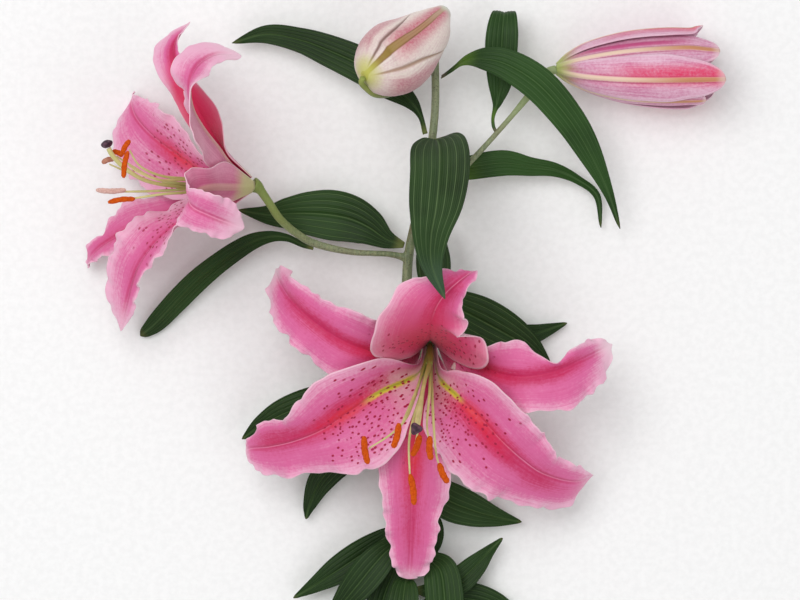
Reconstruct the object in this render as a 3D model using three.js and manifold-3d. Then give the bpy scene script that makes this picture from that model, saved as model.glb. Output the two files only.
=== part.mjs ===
// A cut stem of a pink lily, lying on its back: two open blooms, two buds and their leaves.
// Millimetres. +Z is up from the surface that the stem lies on, +Y runs along the stem from
// its cut end to its topmost bud, and +X is to the right of that.
import * as THREE from 'three';
import { mergeVertices } from 'three/addons/utils/BufferGeometryUtils.js';
import Module from 'manifold-3d';

const wasm = await Module();
wasm.setup();

// Driving dimensions.
const EYE_HEIGHT = 2262;      // the places below are as seen from here, straight above the middle
const DRAWN_HEIGHT = 40;      // the height at which a place is seen where it really is
const ORIGIN = [2, -72.1, 0];  // middle of the whole stem on the surface, in the drawn places
const PETAL_THICKNESS = 0.9;
const LEAF_THICKNESS = 0.8;
const STALK_THICKNESS = 1.8;  // a leaf or petal at the narrow end that it grows from
const FILAMENT_RADIUS = 0.8;
const ANTHER_RADIUS = 1.75;
const SEAT = 0.3;             // clearance where one piece sits on the next

const UP = new THREE.Vector3(0, 0, 1);

const COLOURS = {
  stem: { color: 0x7d8a62, roughness: 0.6 },
  leaf: { color: 0x2c4a26, roughness: 0.45 },
  petal: { color: 0xe07aad, roughness: 0.6 },
  bud: { color: 0xdba6b4, roughness: 0.6 },
  filament: { color: 0xc3cc8c, roughness: 0.5 },
  anther: { color: 0xcf4f10, roughness: 0.9 },
  stigma: { color: 0x4a2f44, roughness: 0.35 },
};

// The real place of a point that is drawn at x, y and stands at height z.
function place(x, y, z) {
  const nearer = (EYE_HEIGHT - z) / (EYE_HEIGHT - DRAWN_HEIGHT);
  return new THREE.Vector3(x * nearer, y * nearer, z);
}

function curve(points) {
  return new THREE.CatmullRomCurve3(points, false, 'catmullrom', 0.5);
}

// A value that runs evenly through a short list from base to tip.
function along(list, v) {
  const at = v * (list.length - 1);
  const i = Math.min(Math.floor(at), Math.max(list.length - 2, 0));
  return THREE.MathUtils.lerp(list[i], list[i + 1] ?? list[i], at - i);
}

// The direction around a bloom's axis, at an angle from the bloom's first direction.
function around(axis, first, degrees) {
  const angle = THREE.MathUtils.degToRad(degrees);
  const second = axis.clone().cross(first);
  return second.multiplyScalar(Math.cos(angle)).addScaledVector(first, -Math.sin(angle));
}

// A leaf or petal. Each row is a station on its midrib, from base to tip:
// x, y, z, half-width on the left, half-width on the right and roll in degrees.
function bladeSurface(rows, shape) {
  const rib = curve(rows.map(([x, y, z]) => place(x, y, z)));
  const widths = curve(rows.map((row) => new THREE.Vector3(row[3], row[4], row[5] ?? 0)));
  const chord = rib.getPoint(1).sub(rib.getPoint(0));
  const across = shape.across ?? UP.clone().cross(chord).normalize();
  const { cup = [0.1], puff = 0, wave = 0, waves = 2, turn = [0, 0.5], lobes = 0 } = shape;
  return (s, v) => {
    const tangent = rib.getTangent(v);
    const [left, right, roll] = widths.getPoint(v).toArray();
    const sideways = across.clone().addScaledVector(tangent, -across.dot(tangent)).normalize();
    sideways.applyAxisAngle(tangent, THREE.MathUtils.degToRad(roll));
    const inward = tangent.clone().cross(sideways);
    const half = s > 0 ? left : right;
    const phase = s > 0 ? turn[0] : turn[1];
    const ruffle = wave * Math.sin(Math.PI * v) * s * s * Math.sin(2 * Math.PI * (waves * v + phase));
    const arch = half * (along(cup, v) * s * s + puff * Math.sin(Math.PI * Math.abs(s)));
    return rib.getPoint(v)
      .addScaledVector(sideways, s * half)
      .addScaledVector(inward, arch + ruffle)
      .addScaledVector(tangent, -lobes * half * s * s * (1 - v) ** 4);
  };
}

// A sheet with both faces split into triangles alike, closed by a rim.
function blade(rows, shape) {
  const { steps = 9, halves = 2, thick = [STALK_THICKNESS, LEAF_THICKNESS, LEAF_THICKNESS] } = shape;
  const surface = bladeSurface(rows, shape);
  const columns = 2 * halves;
  const plane = new THREE.PlaneGeometry(2, 1, columns, steps);
  const grid = plane.attributes.position;
  const count = grid.count;
  const positions = new Float32Array(count * 6);
  const reach = 0.004;
  for (let i = 0; i < count; i++) {
    const s = grid.getX(i);
    const v = 1 - (0.5 + grid.getY(i)) ** 1.25;
    const point = surface(s, v);
    const onward = surface(s, Math.min(v + reach, 1)).sub(surface(s, Math.max(v - reach, 0)));
    const leftward = surface(Math.min(s + reach, 1), v).sub(surface(Math.max(s - reach, -1), v));
    const normal = onward.cross(leftward).normalize().multiplyScalar(along(thick, v) / 2);
    point.clone().add(normal).toArray(positions, i * 3);
    point.clone().sub(normal).toArray(positions, (count + i) * 3);
  }
  const faces = [];
  const upper = plane.index.array;
  for (let i = 0; i < upper.length; i += 3) {
    const [a, b, c] = upper.slice(i, i + 3);
    faces.push(a, b, c, c + count, b + count, a + count);
  }
  const rim = [];
  const row = columns + 1;
  for (let j = 0; j < steps; j++) rim.push(j * row);
  for (let i = 0; i < columns; i++) rim.push(steps * row + i);
  for (let j = steps; j > 0; j--) rim.push(j * row + columns);
  for (let i = columns; i > 0; i--) rim.push(i);
  rim.forEach((a, n) => {
    const b = rim[(n + 1) % rim.length];
    faces.push(a, a + count, b + count, a, b + count, b);
  });
  const geometry = new THREE.BufferGeometry();
  geometry.setAttribute('position', new THREE.BufferAttribute(positions, 3));
  geometry.setIndex(faces);
  return geometry;
}

// A round solid along a curve, its radii spread evenly from start to end.
function rod(points, radii, { sides = 8, steps = 10, hint = UP, lobes = 0 } = {}) {
  const path = curve(points.map(([x, y, z]) => place(x, y, z)));
  const geometry = new THREE.CylinderGeometry(1, 1, 1, sides, steps);
  geometry.rotateY(Math.PI / sides);
  const shell = geometry.attributes.position;
  for (let i = 0; i < shell.count; i++) {
    const v = shell.getY(i) + 0.5;
    const tangent = path.getTangentAt(v);
    const sideways = hint.clone().cross(tangent).normalize();
    const upward = tangent.clone().cross(sideways);
    const angle = Math.atan2(shell.getZ(i), shell.getX(i));
    const radius = along(radii, v) * (1 + lobes * Math.cos(3 * angle));
    const point = path.getPointAt(v)
      .addScaledVector(sideways, shell.getX(i) * radius)
      .addScaledVector(upward, -shell.getZ(i) * radius);
    shell.setXYZ(i, point.x, point.y, point.z);
  }
  return geometry;
}

// Several closed geometries grown together as one body.
function joined(geometries) {
  const solids = geometries.map((geometry) => {
    const bare = geometry.clone();
    bare.deleteAttribute('normal');
    bare.deleteAttribute('uv');
    const merged = mergeVertices(bare, 1e-3);
    return new wasm.Manifold(new wasm.Mesh({
      numProp: 3,
      vertProperties: Float32Array.from(merged.attributes.position.array),
      triVerts: Uint32Array.from(merged.index.array),
    }));
  });
  const mesh = solids.reduce((body, solid) => body.add(solid)).getMesh();
  const geometry = new THREE.BufferGeometry();
  geometry.setAttribute('position', new THREE.BufferAttribute(mesh.vertProperties, 3));
  geometry.setIndex(Array.from(mesh.triVerts));
  return geometry;
}

const lily = new THREE.Group();

function add(name, geometry, colour) {
  const material = new THREE.MeshStandardMaterial({ ...COLOURS[colour], metalness: 0 });
  const mesh = new THREE.Mesh(geometry, material);
  mesh.name = name;
  lily.add(mesh);
}

// The main stem, cut square at its lower end, with the four stalks that branch from it.
const STEM_PATH = [
  [4, -286, 3.05], [4, -274, 3.05], [4, -262, 3.1], [4, -225, 5.2], [4, -185, 8], [4.2, -145, 9.5], [4, -100, 10.5],
  [4, -60, 11.5], [3.6, -20, 13], [3.8, 17, 15], [8.5, 43, 17.5], [14.5, 70, 20], [17.5, 95, 21], [17.6, 121, 22],
];
const FRONT_CENTRE = [15, -22, 20];
const SIDE_CENTRE = [-73.5, 57.5, 44];
const FRONT_AXIS = new THREE.Vector3(0, -0.375, 0.927);
const SIDE_AXIS = new THREE.Vector3(-0.94, 0, 0.34);

function stem() {
  const main = rod(STEM_PATH, [3.3, 3.3, 3.3, 3.2, 3.1, 3, 3, 2.9, 2.9, 2.5, 2.2, 2.1, 2], { steps: 34 });
  const toFront = rod(
    [[4, -48, 11.5], [8, -36, 9.5], [13, -24, 8.5], [15, -19.6, 12.2], [15, -20.5, 16.3], [15, -22, 20]],
    [2.4, 2.3, 2.3, 2.3, 2.5, 4.4], { steps: 10 });
  const toSide = rod(
    [[3.8, 21, 15.5], [-6, 23, 17], [-24, 24, 20], [-42, 28, 25], [-52, 33.5, 30], [-60, 40.5, 36],
      [-64.6, 47.3, 39.4], [-67.2, 52.8, 41.4], [-69.1, 56.4, 42.3], [-71.24, 57.5, 43.18], [-73.5, 57.5, 44]],
    [2.4, 1.5, 1.5, 1.7, 2, 2.2, 2.3, 2.4, 2.5, 4.4], { steps: 18 });
  const toRightBud = rod(
    [[10, 45, 18], [22, 57, 19], [36, 70, 20], [55, 91, 20.5], [69, 108, 21], [73.6, 113.8, 21.5], [77.4, 115.2, 21.5]],
    [2, 1.8, 1.8, 1.8, 2, 2.6], { steps: 8 });
  const toTopBud = rod(
    [[17.6, 117, 22], [12, 113, 24], [3, 106, 29], 
                    [-6, 101.5, 36], [-13.5, 100.3, 43], [-18.6, 103, 51], [-21, 107.2, 57.8], [-19.1, 110.9, 59]],
    [2, 2, 2, 2, 2.1, 2.3, 2.6], { steps: 16 });
  return joined([main, toFront, toSide, toRightBud, toTopBud]);
}

add('main_stem', stem(), 'stem');

// The front bloom, which opens to the viewer. Outer sepals stand behind the wide inner petals.
const FRONT_FIRST = new THREE.Vector3(1, 0, 0);
// The two rings of three tepals: radius of the ring on the receptacle, half-width of a tepal's
// foot there and how hollow the tepal is from its foot to its tip.
const INNER = { ring: 2.4, foot: 1.9, cup: [0.42, 0.44, 0.2, 0.1, 0.02, -0.1] };
const TOP = { ring: 2.4, foot: 1.9, cup: [1.1, 0.95, 0.5, 0.36, 0.18, 0.1, 0.03, -0.04, -0.1] };
const OUTER = { ring: 3.9, foot: 3, cup: [0.38, 0.4, 0.2, 0.1, 0, -0.1] };
const FOOT_HEIGHT = 0.6;      // middle of a tepal's foot above the receptacle
const PETAL = {
  steps: 12, halves: 3, puff: 0.05, wave: 1.6, waves: 3, turn: [0.1, 0.6],
  thick: [PETAL_THICKNESS],
};

const FRONT_TEPALS = {
  front_petal_top: [90, TOP, [
    [15, -19.3, 38, 9.5, 10.8], [15, -17, 57, 25, 28.5],
    [15.5, -12, 75, 30, 23], [18, -4, 87, 25, 15.5], [23, 3.5, 92, 15.5, 10.5], [29, 9, 93, 8.5, 6.5],
    [35, 13.5, 89, 4, 4.5], [37, 14.5, 85, 0.8, 0.8]]],
  front_petal_left: [210, INNER, [
    [9, -36.5, 34, 4, 2.9], [-10, -46, 50, 24, 18.5],
    [-27.5, -57.5, 55, 30, 24.5], [-39, -65, 55, 26, 21.5], [-52.5, -70.5, 49, 18.6, 13.4, 5],
    [-65, -73.4, 39, 16, 13.6, 18], [-74, -74.2, 30.5, 10.4, 6, 32], [-77, -75.4, 26.5, 6.5, 2, 40]]],
  front_petal_right: [330, INNER, [
    [19.5, -38, 34, 3, 4], [27.5, -47, 48, 13, 21],
    [38, -56.5, 55, 20.5, 28], [51, -70.5, 55, 19, 28.6], [61.5, -80, 49, 17, 26],
    [72, -87, 41, 12, 20], [87, -90.8, 29, 9.5, 16.5], [96.5, -87.5, 21, 0.8, 0.8]]],
  front_sepal_bottom: [270, OUTER, [
    [14.5, -44.3, 34, 11.5, 11.5], [10, -60, 40, 16, 16],
    [7, -78, 42, 18, 18.5], [6.2, -95, 40, 19, 16], [5.9, -109, 36, 14, 14],
    [5.4, -122, 31, 14, 12.5], [5, -133, 25, 10.5, 8.5], [4.5, -139.8, 20, 1, 1]]],
  front_sepal_right: [30, OUTER, [
    [21.3, -22.2, 29.5, 7, 14], [28.6, -23, 40, 11, 13, -5], [37, -30, 43.5, 12, 13, -15],
    [48, -36.5, 49.5, 17, 15, -25], [62, -38.5, 56.5, 18, 17, -25], [78.5, -35.5, 57, 7, 20, -15],
    [91, -30, 53, 8, 17, -5], [100, -25.5, 44, 7, 12.5], [106, -22.3, 37, 0.8, 0.8]]],
  front_sepal_left: [150, OUTER, [
    [8.6, -22.4, 31, 14, 7], [1.8, -23.2, 43, 13.5, 11.5], [-12, -26, 56, 15, 15],
    [-27, -21.5, 63, 18, 19.5], [-42, -12, 64, 16, 14.5], [-54, -1, 57, 14.5, 10.5],
    [-61, 9.5, 43, 11.5, 8.5], [-62, 15.6, 32, 0.8, 0.8]]],
};

// The side bloom, which faces left and opens wide, its tips rolled back.
const SIDE_FIRST = new THREE.Vector3(0, 1, 0);
const SIDE_TEPALS = {
  side_petal_upper: [315, INNER, [
    [-84, 67.5, 57.5, 10.5, 9.5], [-91, 76.5, 67, 14, 12.6],
    [-98, 85.5, 77, 15, 18.4], [-103, 94, 85, 14, 21], [-105, 102, 90, 12, 13],
    [-104.5, 111, 90, 11.5, 10], [-100, 118.5, 85, 12, 7], [-91, 123, 78, 9.5, 5.5],
    [-79.5, 122, 70, 2.6, 2.6]]],
  side_petal_far: [70, INNER, [
    [-88, 61, 39, 9, 9], [-100, 65, 36, 16, 12, -12],
    [-112, 73, 30, 24, 18, -6], [-123.5, 82, 23.4, 26, 17, 5], [-131, 90, 15.7, 21, 12.5, 22],
    [-134, 97, 8.75, 12, 8, 24], [-133.5, 104, 4.75, 0.8, 0.8]]],
  side_petal_lower: [190, INNER, [
    [-88, 49, 49.5, 9.5, 9.5], [-100, 44.5, 53, 15, 15, -10],
    [-112, 37.5, 54, 16, 19, -20], [-122.5, 28.5, 53, 10, 20, -35], [-130, 18.5, 49, 6, 19, -40],
    [-134, 8.5, 43, 5, 17, -40], [-137, -3, 36, 5, 12, -40], [-139.5, -15.5, 28, 0.8, 0.8, -40]]],
  side_sepal_back: [10, OUTER, [
    [-86, 72.5, 46, 10.5, 11.5, 0], [-93, 81.5, 48, 8.5, 13, 20],
    [-99.5, 92, 50, 7.5, 10.5, 40], [-106, 104, 51, 8.5, 8, 45], [-112, 115, 50, 9.8, 6, 40],
    [-114, 125, 47, 11.5, 3, 30], [-110.5, 133.5, 43, 12, 2, 20], [-105, 139, 39, 0.8, 0.8, 10]]],
  side_sepal_lower: [130, OUTER, [
    [-90, 48.5, 32, 11.5, 10.5], [-101, 46, 25.5, 12, 11],
    [-113, 43, 21.5, 12, 12], [-126, 39, 20, 12, 14], [-138, 34, 19, 12, 14.5], [-148, 28.5, 16, 9, 7],
    [-154.5, 22.5, 12, 5, 6], [-156, 16, 9, 0.8, 0.8]]],
  side_sepal_front: [250, OUTER, [
    [-85.5, 56.5, 67, 11.5, 11.5], [-95, 56.5, 83, 9, 13],
    [-101.5, 54.5, 90, 11, 12.5], [-106, 50, 96, 9, 12], [-103.5, 46, 99.5, 11, 11.5],
    [-95, 42, 98, 11.5, 9.5], [-86, 38.5, 92, 10, 8.5], [-78, 36, 85, 2, 2]]],
};

function bloom(tepals, centre, axis, first) {
  for (const [name, [degrees, { ring, foot, cup }, rows]] of Object.entries(tepals)) {
    const across = around(axis, first, degrees);
    const outward = across.clone().cross(axis);
    const root = new THREE.Vector3(...centre).addScaledVector(axis, FOOT_HEIGHT).addScaledVector(outward, ring);
    const stations = [[...root.toArray(), foot, foot], ...rows];
    add(name, blade(stations, { ...PETAL, across, cup }), 'petal');
  }
}

bloom(FRONT_TEPALS, FRONT_CENTRE, FRONT_AXIS, FRONT_FIRST);
bloom(SIDE_TEPALS, SIDE_CENTRE, SIDE_AXIS, SIDE_FIRST);

// Ovary, style and the six filaments of a bloom are one body in its throat.
function throat(centre, axis, hint, style, filaments) {
  const [x, y, z] = centre;
  const spot = (height) => [x + axis.x * height, y + axis.y * height, z + axis.z * height];
  const ovary = rod([spot(SEAT), spot(8), spot(18), spot(27)], [1.2, 1.9, 1.9, 1.4], { steps: 6, hint });
  const rods = style.length ? [rod([spot(25), ...style], [1.4, 1, 1, 1.3], { sides: 6, steps: 9, hint })] : [];
  for (const points of filaments) {
    rods.push(rod([spot(5), ...points], [1.4, FILAMENT_RADIUS, FILAMENT_RADIUS, 0.6], { sides: 5, steps: 8, hint }));
  }
  return joined([ovary, ...rods]);
}

// An anther is a small bar that a filament carries at the middle of its back.
function anther(from, to) {
  const middle = from.map((value, i) => (value + to[i]) / 2);
  return rod([from, middle, to], [0.8, ANTHER_RADIUS, ANTHER_RADIUS, 0.8], { sides: 6, steps: 4 });
}

// Each stamen: the two ends of its anther, then the places that its filament passes.
// The filament ends just short of the anther, on the side that faces the throat.
const FRONT_STAMENS = [
  [[-18, -68, 88], [-16, -82, 88], [[6.5, -51, 60], [1.3, -61.5, 72], [-6.5, -68.5, 81], [-14.5, -73.5, 85.5]]],
  [[-0.5, -61.5, 97], [-3.5, -74, 97], [[9, -43, 60], [0.5, -63, 88]]],
  [[15, -68, 97], [15.5, -80, 97], [[15, -43, 60], [13.5, -61.5, 84], [14.5, -69.5, 92]]],
  [[10, -67.5, 84], [6, -78, 84], [[12, -43, 56], [10, -60, 75]]],
  [[19.5, -81.5, 90], [24, -91.5, 90], [[16, -45, 58], [17, -65, 76], [18.5, -79, 85]]],
  [[5, -87, 84], [7, -102.5, 84], [[11, -45, 56], [6.5, -60, 69], [4.5, -72, 76], [5, -88, 80.5]]],
];
const FRONT_STYLE = [[12.5, -40, 60], [10.5, -50, 78], [8.8, -59, 94], [8, -64, 102.5]];
const FRONT_STIGMA = [[8, -64.2, 103.5], [8, -64.6, 107]];

const SIDE_STAMENS = [
  [[-135, 80, 78], [-139, 72.5, 78], [[-105, 60.5, 61], [-119, 62, 69], [-130, 67, 74.5]]],
  [[-144, 74.3, 63], [-138.5, 72, 63], [[-105, 58, 58], [-122, 60.5, 60], [-134, 67, 61]]],
  [[-136, 74.5, 85], [-138.2, 61, 85], [[-105, 60, 63], [-120, 60, 73], [-131, 64, 80]]],
  [[-149, 68.5, 57], [-143, 70.5, 57], [[-105, 57, 55], [-120, 58, 54], [-134, 63, 54.5]]],
  [[-152, 55, 60], [-137, 55, 60], [[-105, 55.5, 55.5], [-122, 54.5, 56.5], [-138, 54.2, 56.3]]],
  [[-146, 48.8, 66], [-132.5, 50.5, 66], [[-105, 54, 58], [-118, 53, 62], [-132, 51, 63]]],
];
const SIDE_STYLE = [[-112, 57, 58], [-126.5, 59.5, 64], [-137, 65.5, 68], [-143.5, 72, 70], [-145.6, 75.6, 70.6]];
const SIDE_STIGMA = [[-146, 76.3, 70.8], [-147.2, 79.8, 71.4]];

function flowerCentre(name, centre, axis, hint, stamens, style, stigma) {
  const filaments = stamens.map(([from, to, route]) => {
    const middle = place(...from.map((value, i) => (value + to[i]) / 2));
    const back = middle.clone().sub(place(...route.at(-1))).normalize();
    const bar = place(...to).sub(place(...from)).normalize();
    back.addScaledVector(bar, -back.dot(bar)).normalize();
    const tip = middle.addScaledVector(back, -(ANTHER_RADIUS + SEAT));
    const drawn = (EYE_HEIGHT - DRAWN_HEIGHT) / (EYE_HEIGHT - tip.z);
    return [...route, [tip.x * drawn, tip.y * drawn, tip.z]];
  });
  add(`${name}_ovary_and_filaments`, throat(centre, axis, hint, style, filaments), 'filament');
  stamens.forEach(([from, to], i) => add(`${name}_anther_${i + 1}`, anther(from, to), 'anther'));
  add(`${name}_stigma`, rod(stigma, [1.6, 2.7, 2.9, 2.2], { sides: 9, steps: 3, hint, lobes: 0.12 }), 'stigma');
}

flowerCentre('front', FRONT_CENTRE, FRONT_AXIS, FRONT_FIRST, FRONT_STAMENS, FRONT_STYLE, FRONT_STIGMA);
flowerCentre('side', SIDE_CENTRE, SIDE_AXIS, UP, SIDE_STAMENS, SIDE_STYLE, SIDE_STIGMA);

// The closed bud at the top: six tepals still pressed together.
const TOP_BUD_PATH = [[-17.8, 112, 57], [-9, 117.2, 50], [3.5, 125.4, 46], [14, 134.8, 44.5],
  [19.5, 141.3, 43.5], [23.5, 146.2, 42.5]];
const TOP_BUD_RADII = [3.2, 12, 16.8, 19, 19.4, 18.2, 15.8, 12.8, 9.3, 5.2, 0.8];
add('top_bud', rod(TOP_BUD_PATH, TOP_BUD_RADII, { sides: 18, steps: 10, lobes: 0.035 }), 'bud');

// The opening bud at the right: its tepals have parted at their tips.
const RIGHT_BUD_PATH = [[78.4, 115.3, 21.5], [100, 116, 20.3], [124, 115.6, 19.6], [147, 115.4, 19.6]];
const RIGHT_BUD_RADII = [3, 8.3, 12.3, 15.3, 17.3, 18.6, 19.2, 19.5, 19.3, 17, 13];
// Each tip: how far it reaches along X, its place round the bud and its distance from the middle.
const RIGHT_BUD_TIPS = [
  [151.5, 88, 21], [160, 48, 16], [163, -15, 19], [153, -64, 19], [158, 150, 15], [157, -130, 14],
];

function rightBud() {
  const tips = RIGHT_BUD_TIPS.map(([reach, degrees, spread]) => {
    const angle = THREE.MathUtils.degToRad(degrees);
    const row = (x, radius, half) =>
      [x, 115.5 + radius * Math.sin(angle), 19.6 + radius * Math.cos(angle), half, half];
    const rows = [row(120, 17.5, 6), row(131, 18.9, 8.5), row(141, 18.6, 8.5),
      row((141 + reach) / 2, 0.5 * (18.6 + spread), 6), row(reach, spread, 0.8)];
    const across = new THREE.Vector3(0, -Math.cos(angle), Math.sin(angle));
    return blade(rows, { across, cup: [0.22, 0.24, 0.15], steps: 6, halves: 2, thick: [1.2, 1] });
  });
  return joined([rod(RIGHT_BUD_PATH, RIGHT_BUD_RADII, { sides: 18, steps: 10, lobes: 0.03 }), ...tips]);
}

add('right_bud', rightBud(), 'bud');

// The leaves, from the top of the stem down. Rows as for the tepals.
const LEAVES = {
  leaf_01_long_upper_left: [
    [12.6, 83, 21, 1.2, 1.2], [10.2, 92, 22, 1.4, 1.4], [5, 99.5, 22, 4, 4], [-6, 108, 20, 7.5, 7.5],
    [-19, 117, 18, 9, 9], [-35, 124.5, 16, 8.2, 8], [-50, 130, 14, 6.4, 6.2], [-67, 132.8, 12, 4.7, 4.6],
    [-84, 128.5, 8, 0.6, 0.6]],
  leaf_02_heart_in_front: [
    [17, 80, 23.2, 2, 2], [18.8, 79.5, 30, 11, 8], [19.8, 74, 45, 14.5, 14], [19.5, 62, 65, 15.2, 14.2],
    [18, 46, 83, 13.4, 13.2], [15.5, 31, 96, 9, 9], [16, 17, 104, 5.2, 5.2], [22.5, 0.5, 106, 0.6, 0.6]],
  leaf_03_long_right: [
    [20.9, 111.4, 22, 1.2, 1.2], [26, 115, 26, 1.5, 1.5], [33, 119.5, 32, 3, 3], [42, 120.5, 37, 5.8, 5.8],
    [54, 117.5, 39, 7.8, 7.8], [69.5, 107.5, 39, 8.7, 8.6], [84, 91, 36, 7.9, 7.9], [94, 75, 31, 6.4, 6.4],
    [104, 54, 23, 2.8, 2.8], [110, 35.7, 15, 0.6, 0.6]],
  leaf_04_upright: [
    [46.3, 85.2, 20.5, 1.1, 1.1], [46.5, 91, 22, 1.2, 1.2], [48.5, 98, 23, 2.2, 2.2], [49.8, 107.5, 23, 5.8, 5.8],
    [50.4, 118.5, 23, 7.7, 7.7], [50.8, 128, 24, 8.3, 8.2], [51.3, 136, 24, 7.8, 7.8],
    [52, 143, 20.5, 6.2, 6.2], [52, 143.5, 13, 4, 4], [51.5, 139, 8, 0.6, 0.6]],
  leaf_05_right: [
    [17.4, 59.8, 18, 1.4, 1.4], [25, 62, 14.2, 3.5, 3.5], [35, 66, 14.5, 6, 6], [51.5, 68.5, 13, 6.5, 6.5],
    [65, 66.7, 12, 4.8, 4.8], [77.5, 65, 11, 3.5, 3.5], [89, 60, 9, 2.2, 2.2], [98.5, 52, 7, 1.8, 1.8],
    [100.5, 36.2, 5, 0.6, 0.6]],
  leaf_06_middle_left: [
    [2.0, 27.4, 15.2, 1.4, 1.4], [-7, 30.5, 14, 5, 5], [-16, 36.5, 14, 9.5, 9.5], [-25, 40.5, 13.5, 12, 12],
    [-35, 42.5, 13, 12.7, 12.7], [-46, 43.3, 12, 11, 11], [-56, 43.2, 10, 8.2, 8.2], [-66, 42.6, 8, 4.9, 4.9],
    [-81, 45, 6, 0.6, 0.6]],
  leaf_07_long_left: [
    [-43.4, 26.1, 23, 1.1, 1.1], [-48.5, 27.6, 21, 1.3, 1.3], [-56, 31, 19, 1.8, 1.8], [-64, 31.8, 17, 2.8, 2.8],
    [-73, 29.5, 15, 4.1, 4.1], [-82, 24.5, 13, 4.9, 4.9], [-92.5, 17, 10, 5.4, 5.4], [-102, 9, 8, 5.8, 5.8],
    [-112, -1, 6, 5.7, 5.7], [-122, -11.5, 4, 4.8, 4.8], [-129.8, -17.9, 3, 2, 2]],
  leaf_08_behind_heart: [
    [11.8, 39.5, 18.2, 1.3, 1.3], [15.8, 33.5, 23.5, 5.2, 5.2], [16.5, 22, 25, 8.5, 8.5], [17, 11, 24, 8, 8],
    [17.5, 1, 21, 4.5, 4.5], [18, -6, 18, 0.6, 0.6]],
  leaf_09_behind_right: [
    [7, 3, 14, 1.6, 1.6], [20, -0.5, 14, 7, 7], [36, -8, 14, 11.5, 11.5], [50, -15.5, 14, 11.5, 11.5],
    [63, -23, 13, 8, 8], [75.5, -32, 10, 0.6, 0.6]],
  leaf_10_low_right: [
    [7.9, -57, 11, 1.5, 1.5], [22, -46, 8.5, 6, 6], [40, -32, 7.5, 8, 8], [57, -20.5, 6.5, 7, 7],
    [71, -15.8, 5.5, 4, 4], [83.5, -11.5, 4.5, 0.6, 0.6]],
  leaf_11_behind_left: [
    [0.7, -50, 11.5, 1.5, 1.5], [-18, -49, 12, 7, 7], [-38, -51, 13, 9, 9], [-56, -56, 12, 8, 8],
    [-69, -62.5, 9, 5, 5], [-79, -69.5, 7, 0.6, 0.6]],
  leaf_12_low_left: [
    [0.6, -70, 11, 1.5, 1.5], [-15, -73, 10, 6, 6], [-30, -80, 9, 8, 8], [-40, -91, 8, 6.5, 6.5],
    [-45, -102, 7, 3.5, 3.5], [-47, -109.5, 6, 0.6, 0.6]],
  leaf_13_low_right: [
    [8, -85.8, 11.5, 1.5, 1.5], [14, -92, 13, 6, 6], [24, -100, 13, 9.5, 9.5], [36, -105, 12, 8.5, 8.5],
    [48, -108.5, 10, 5, 5], [60.8, -111, 8, 0.6, 0.6]],
  leaf_14_narrow: [
    [7.9, -101, 9.5, 1.3, 1.3], [13, -106, 7.5, 4, 4], [17, -113, 7, 4.5, 4.5], [18, -121, 7, 3.2, 3.2],
    [15, -131, 6, 0.6, 0.6]],
  leaf_15_lower_left: [
    [0.2, -114, 10.5, 1.5, 1.5], [-8, -119, 11, 5, 5], [-19, -127, 12, 7.5, 7.5], [-31, -135, 12, 7, 7],
    [-42.5, -142.5, 10, 4, 4], [-53.3, -149, 8, 0.6, 0.6]],
  leaf_16_lower_left_front: [
    [1.8, -120, 13, 1.5, 1.5], [-6, -125, 17, 6, 6], [-13.5, -133, 19, 8.5, 8.5], [-22, -143.5, 18, 8, 8],
    [-30, -153, 15, 5, 5], [-39, -163, 11, 0.6, 0.6]],
  leaf_17_lower_left_down: [
    [-0.5, -131, 10, 1.5, 1.5], [-4, -138, 11.5, 6, 6], [-8, -148, 12, 8, 8], [-10.5, -159, 11, 7, 7],
    [-12, -169, 9, 4, 4], [-12.5, -178, 7, 0.6, 0.6]],
  leaf_18_arched_front: [
    [3.6, -139, 13.4, 1.5, 1.5], [2.5, -142.5, 17.5, 6, 6], [1.5, -150, 21, 8, 8], [0.5, -160, 22, 8, 8],
    [-1, -172, 19, 5, 5], [-2, -184, 15, 0.6, 0.6]],
  leaf_19_arched_right: [
    [7.4, -127, 11.5, 1.5, 1.5], [14, -130, 13, 4.5, 4.5], [20, -135, 16, 8.5, 8.5], [22, -146, 19, 9.6, 9.6],
    [22.5, -159, 19, 9, 9], [22, -171, 16, 5.5, 5.5], [21, -183, 13, 0.6, 0.6]],
  leaf_20_lower_right_up: [
    [7.6, -145, 10, 1.5, 1.5], [18, -145, 11, 5, 5], [29, -140.5, 12, 6.8, 6.8], [37.5, -133, 12, 5.8, 5.8],
    [44.5, -125.5, 11, 3, 3], [51.3, -119, 9, 0.6, 0.6]],
  leaf_21_lower_right: [
    [7.6, -154, 9, 1.5, 1.5], [19, -152, 7, 6, 6], [33, -149.5, 6.5, 8.5, 8.5], [46, -152.5, 6.5, 7.5, 7.5],
    [57, -158, 6, 4, 4], [67, -165, 5, 0.6, 0.6]],
  leaf_22_foot_left: [
    [0.2, -190, 7.5, 1.5, 1.5], [-16, -197, 9.5, 6.5, 6.5], [-36, -207, 11, 9, 9], [-56, -221, 9, 7, 7],
    [-76, -239, 4, 0.6, 0.6]],
  leaf_23_foot_right: [
    [7.6, -188, 8, 1.5, 1.5], [24, -195, 10, 7, 7], [43, -206, 11, 9, 9], [60, -222, 8, 6.5, 6.5],
    [73, -242, 4, 0.6, 0.6]],
  leaf_24_foot_left_low: [
    [-0.4, -222, 5.6, 1.5, 1.5], [-12, -232, 8.5, 6, 6], [-25, -245, 10, 8, 8], [-36, -262, 8, 6, 6],
    [-43, -281, 4, 0.6, 0.6]],
  leaf_25_foot_right_low: [
    [8.4, -222, 5.6, 1.5, 1.5], [19, -233, 8, 6, 6], [31, -248, 9, 8, 8], [41, -266, 7, 5.5, 5.5],
    [47, -284, 4, 0.6, 0.6]],
};

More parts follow.
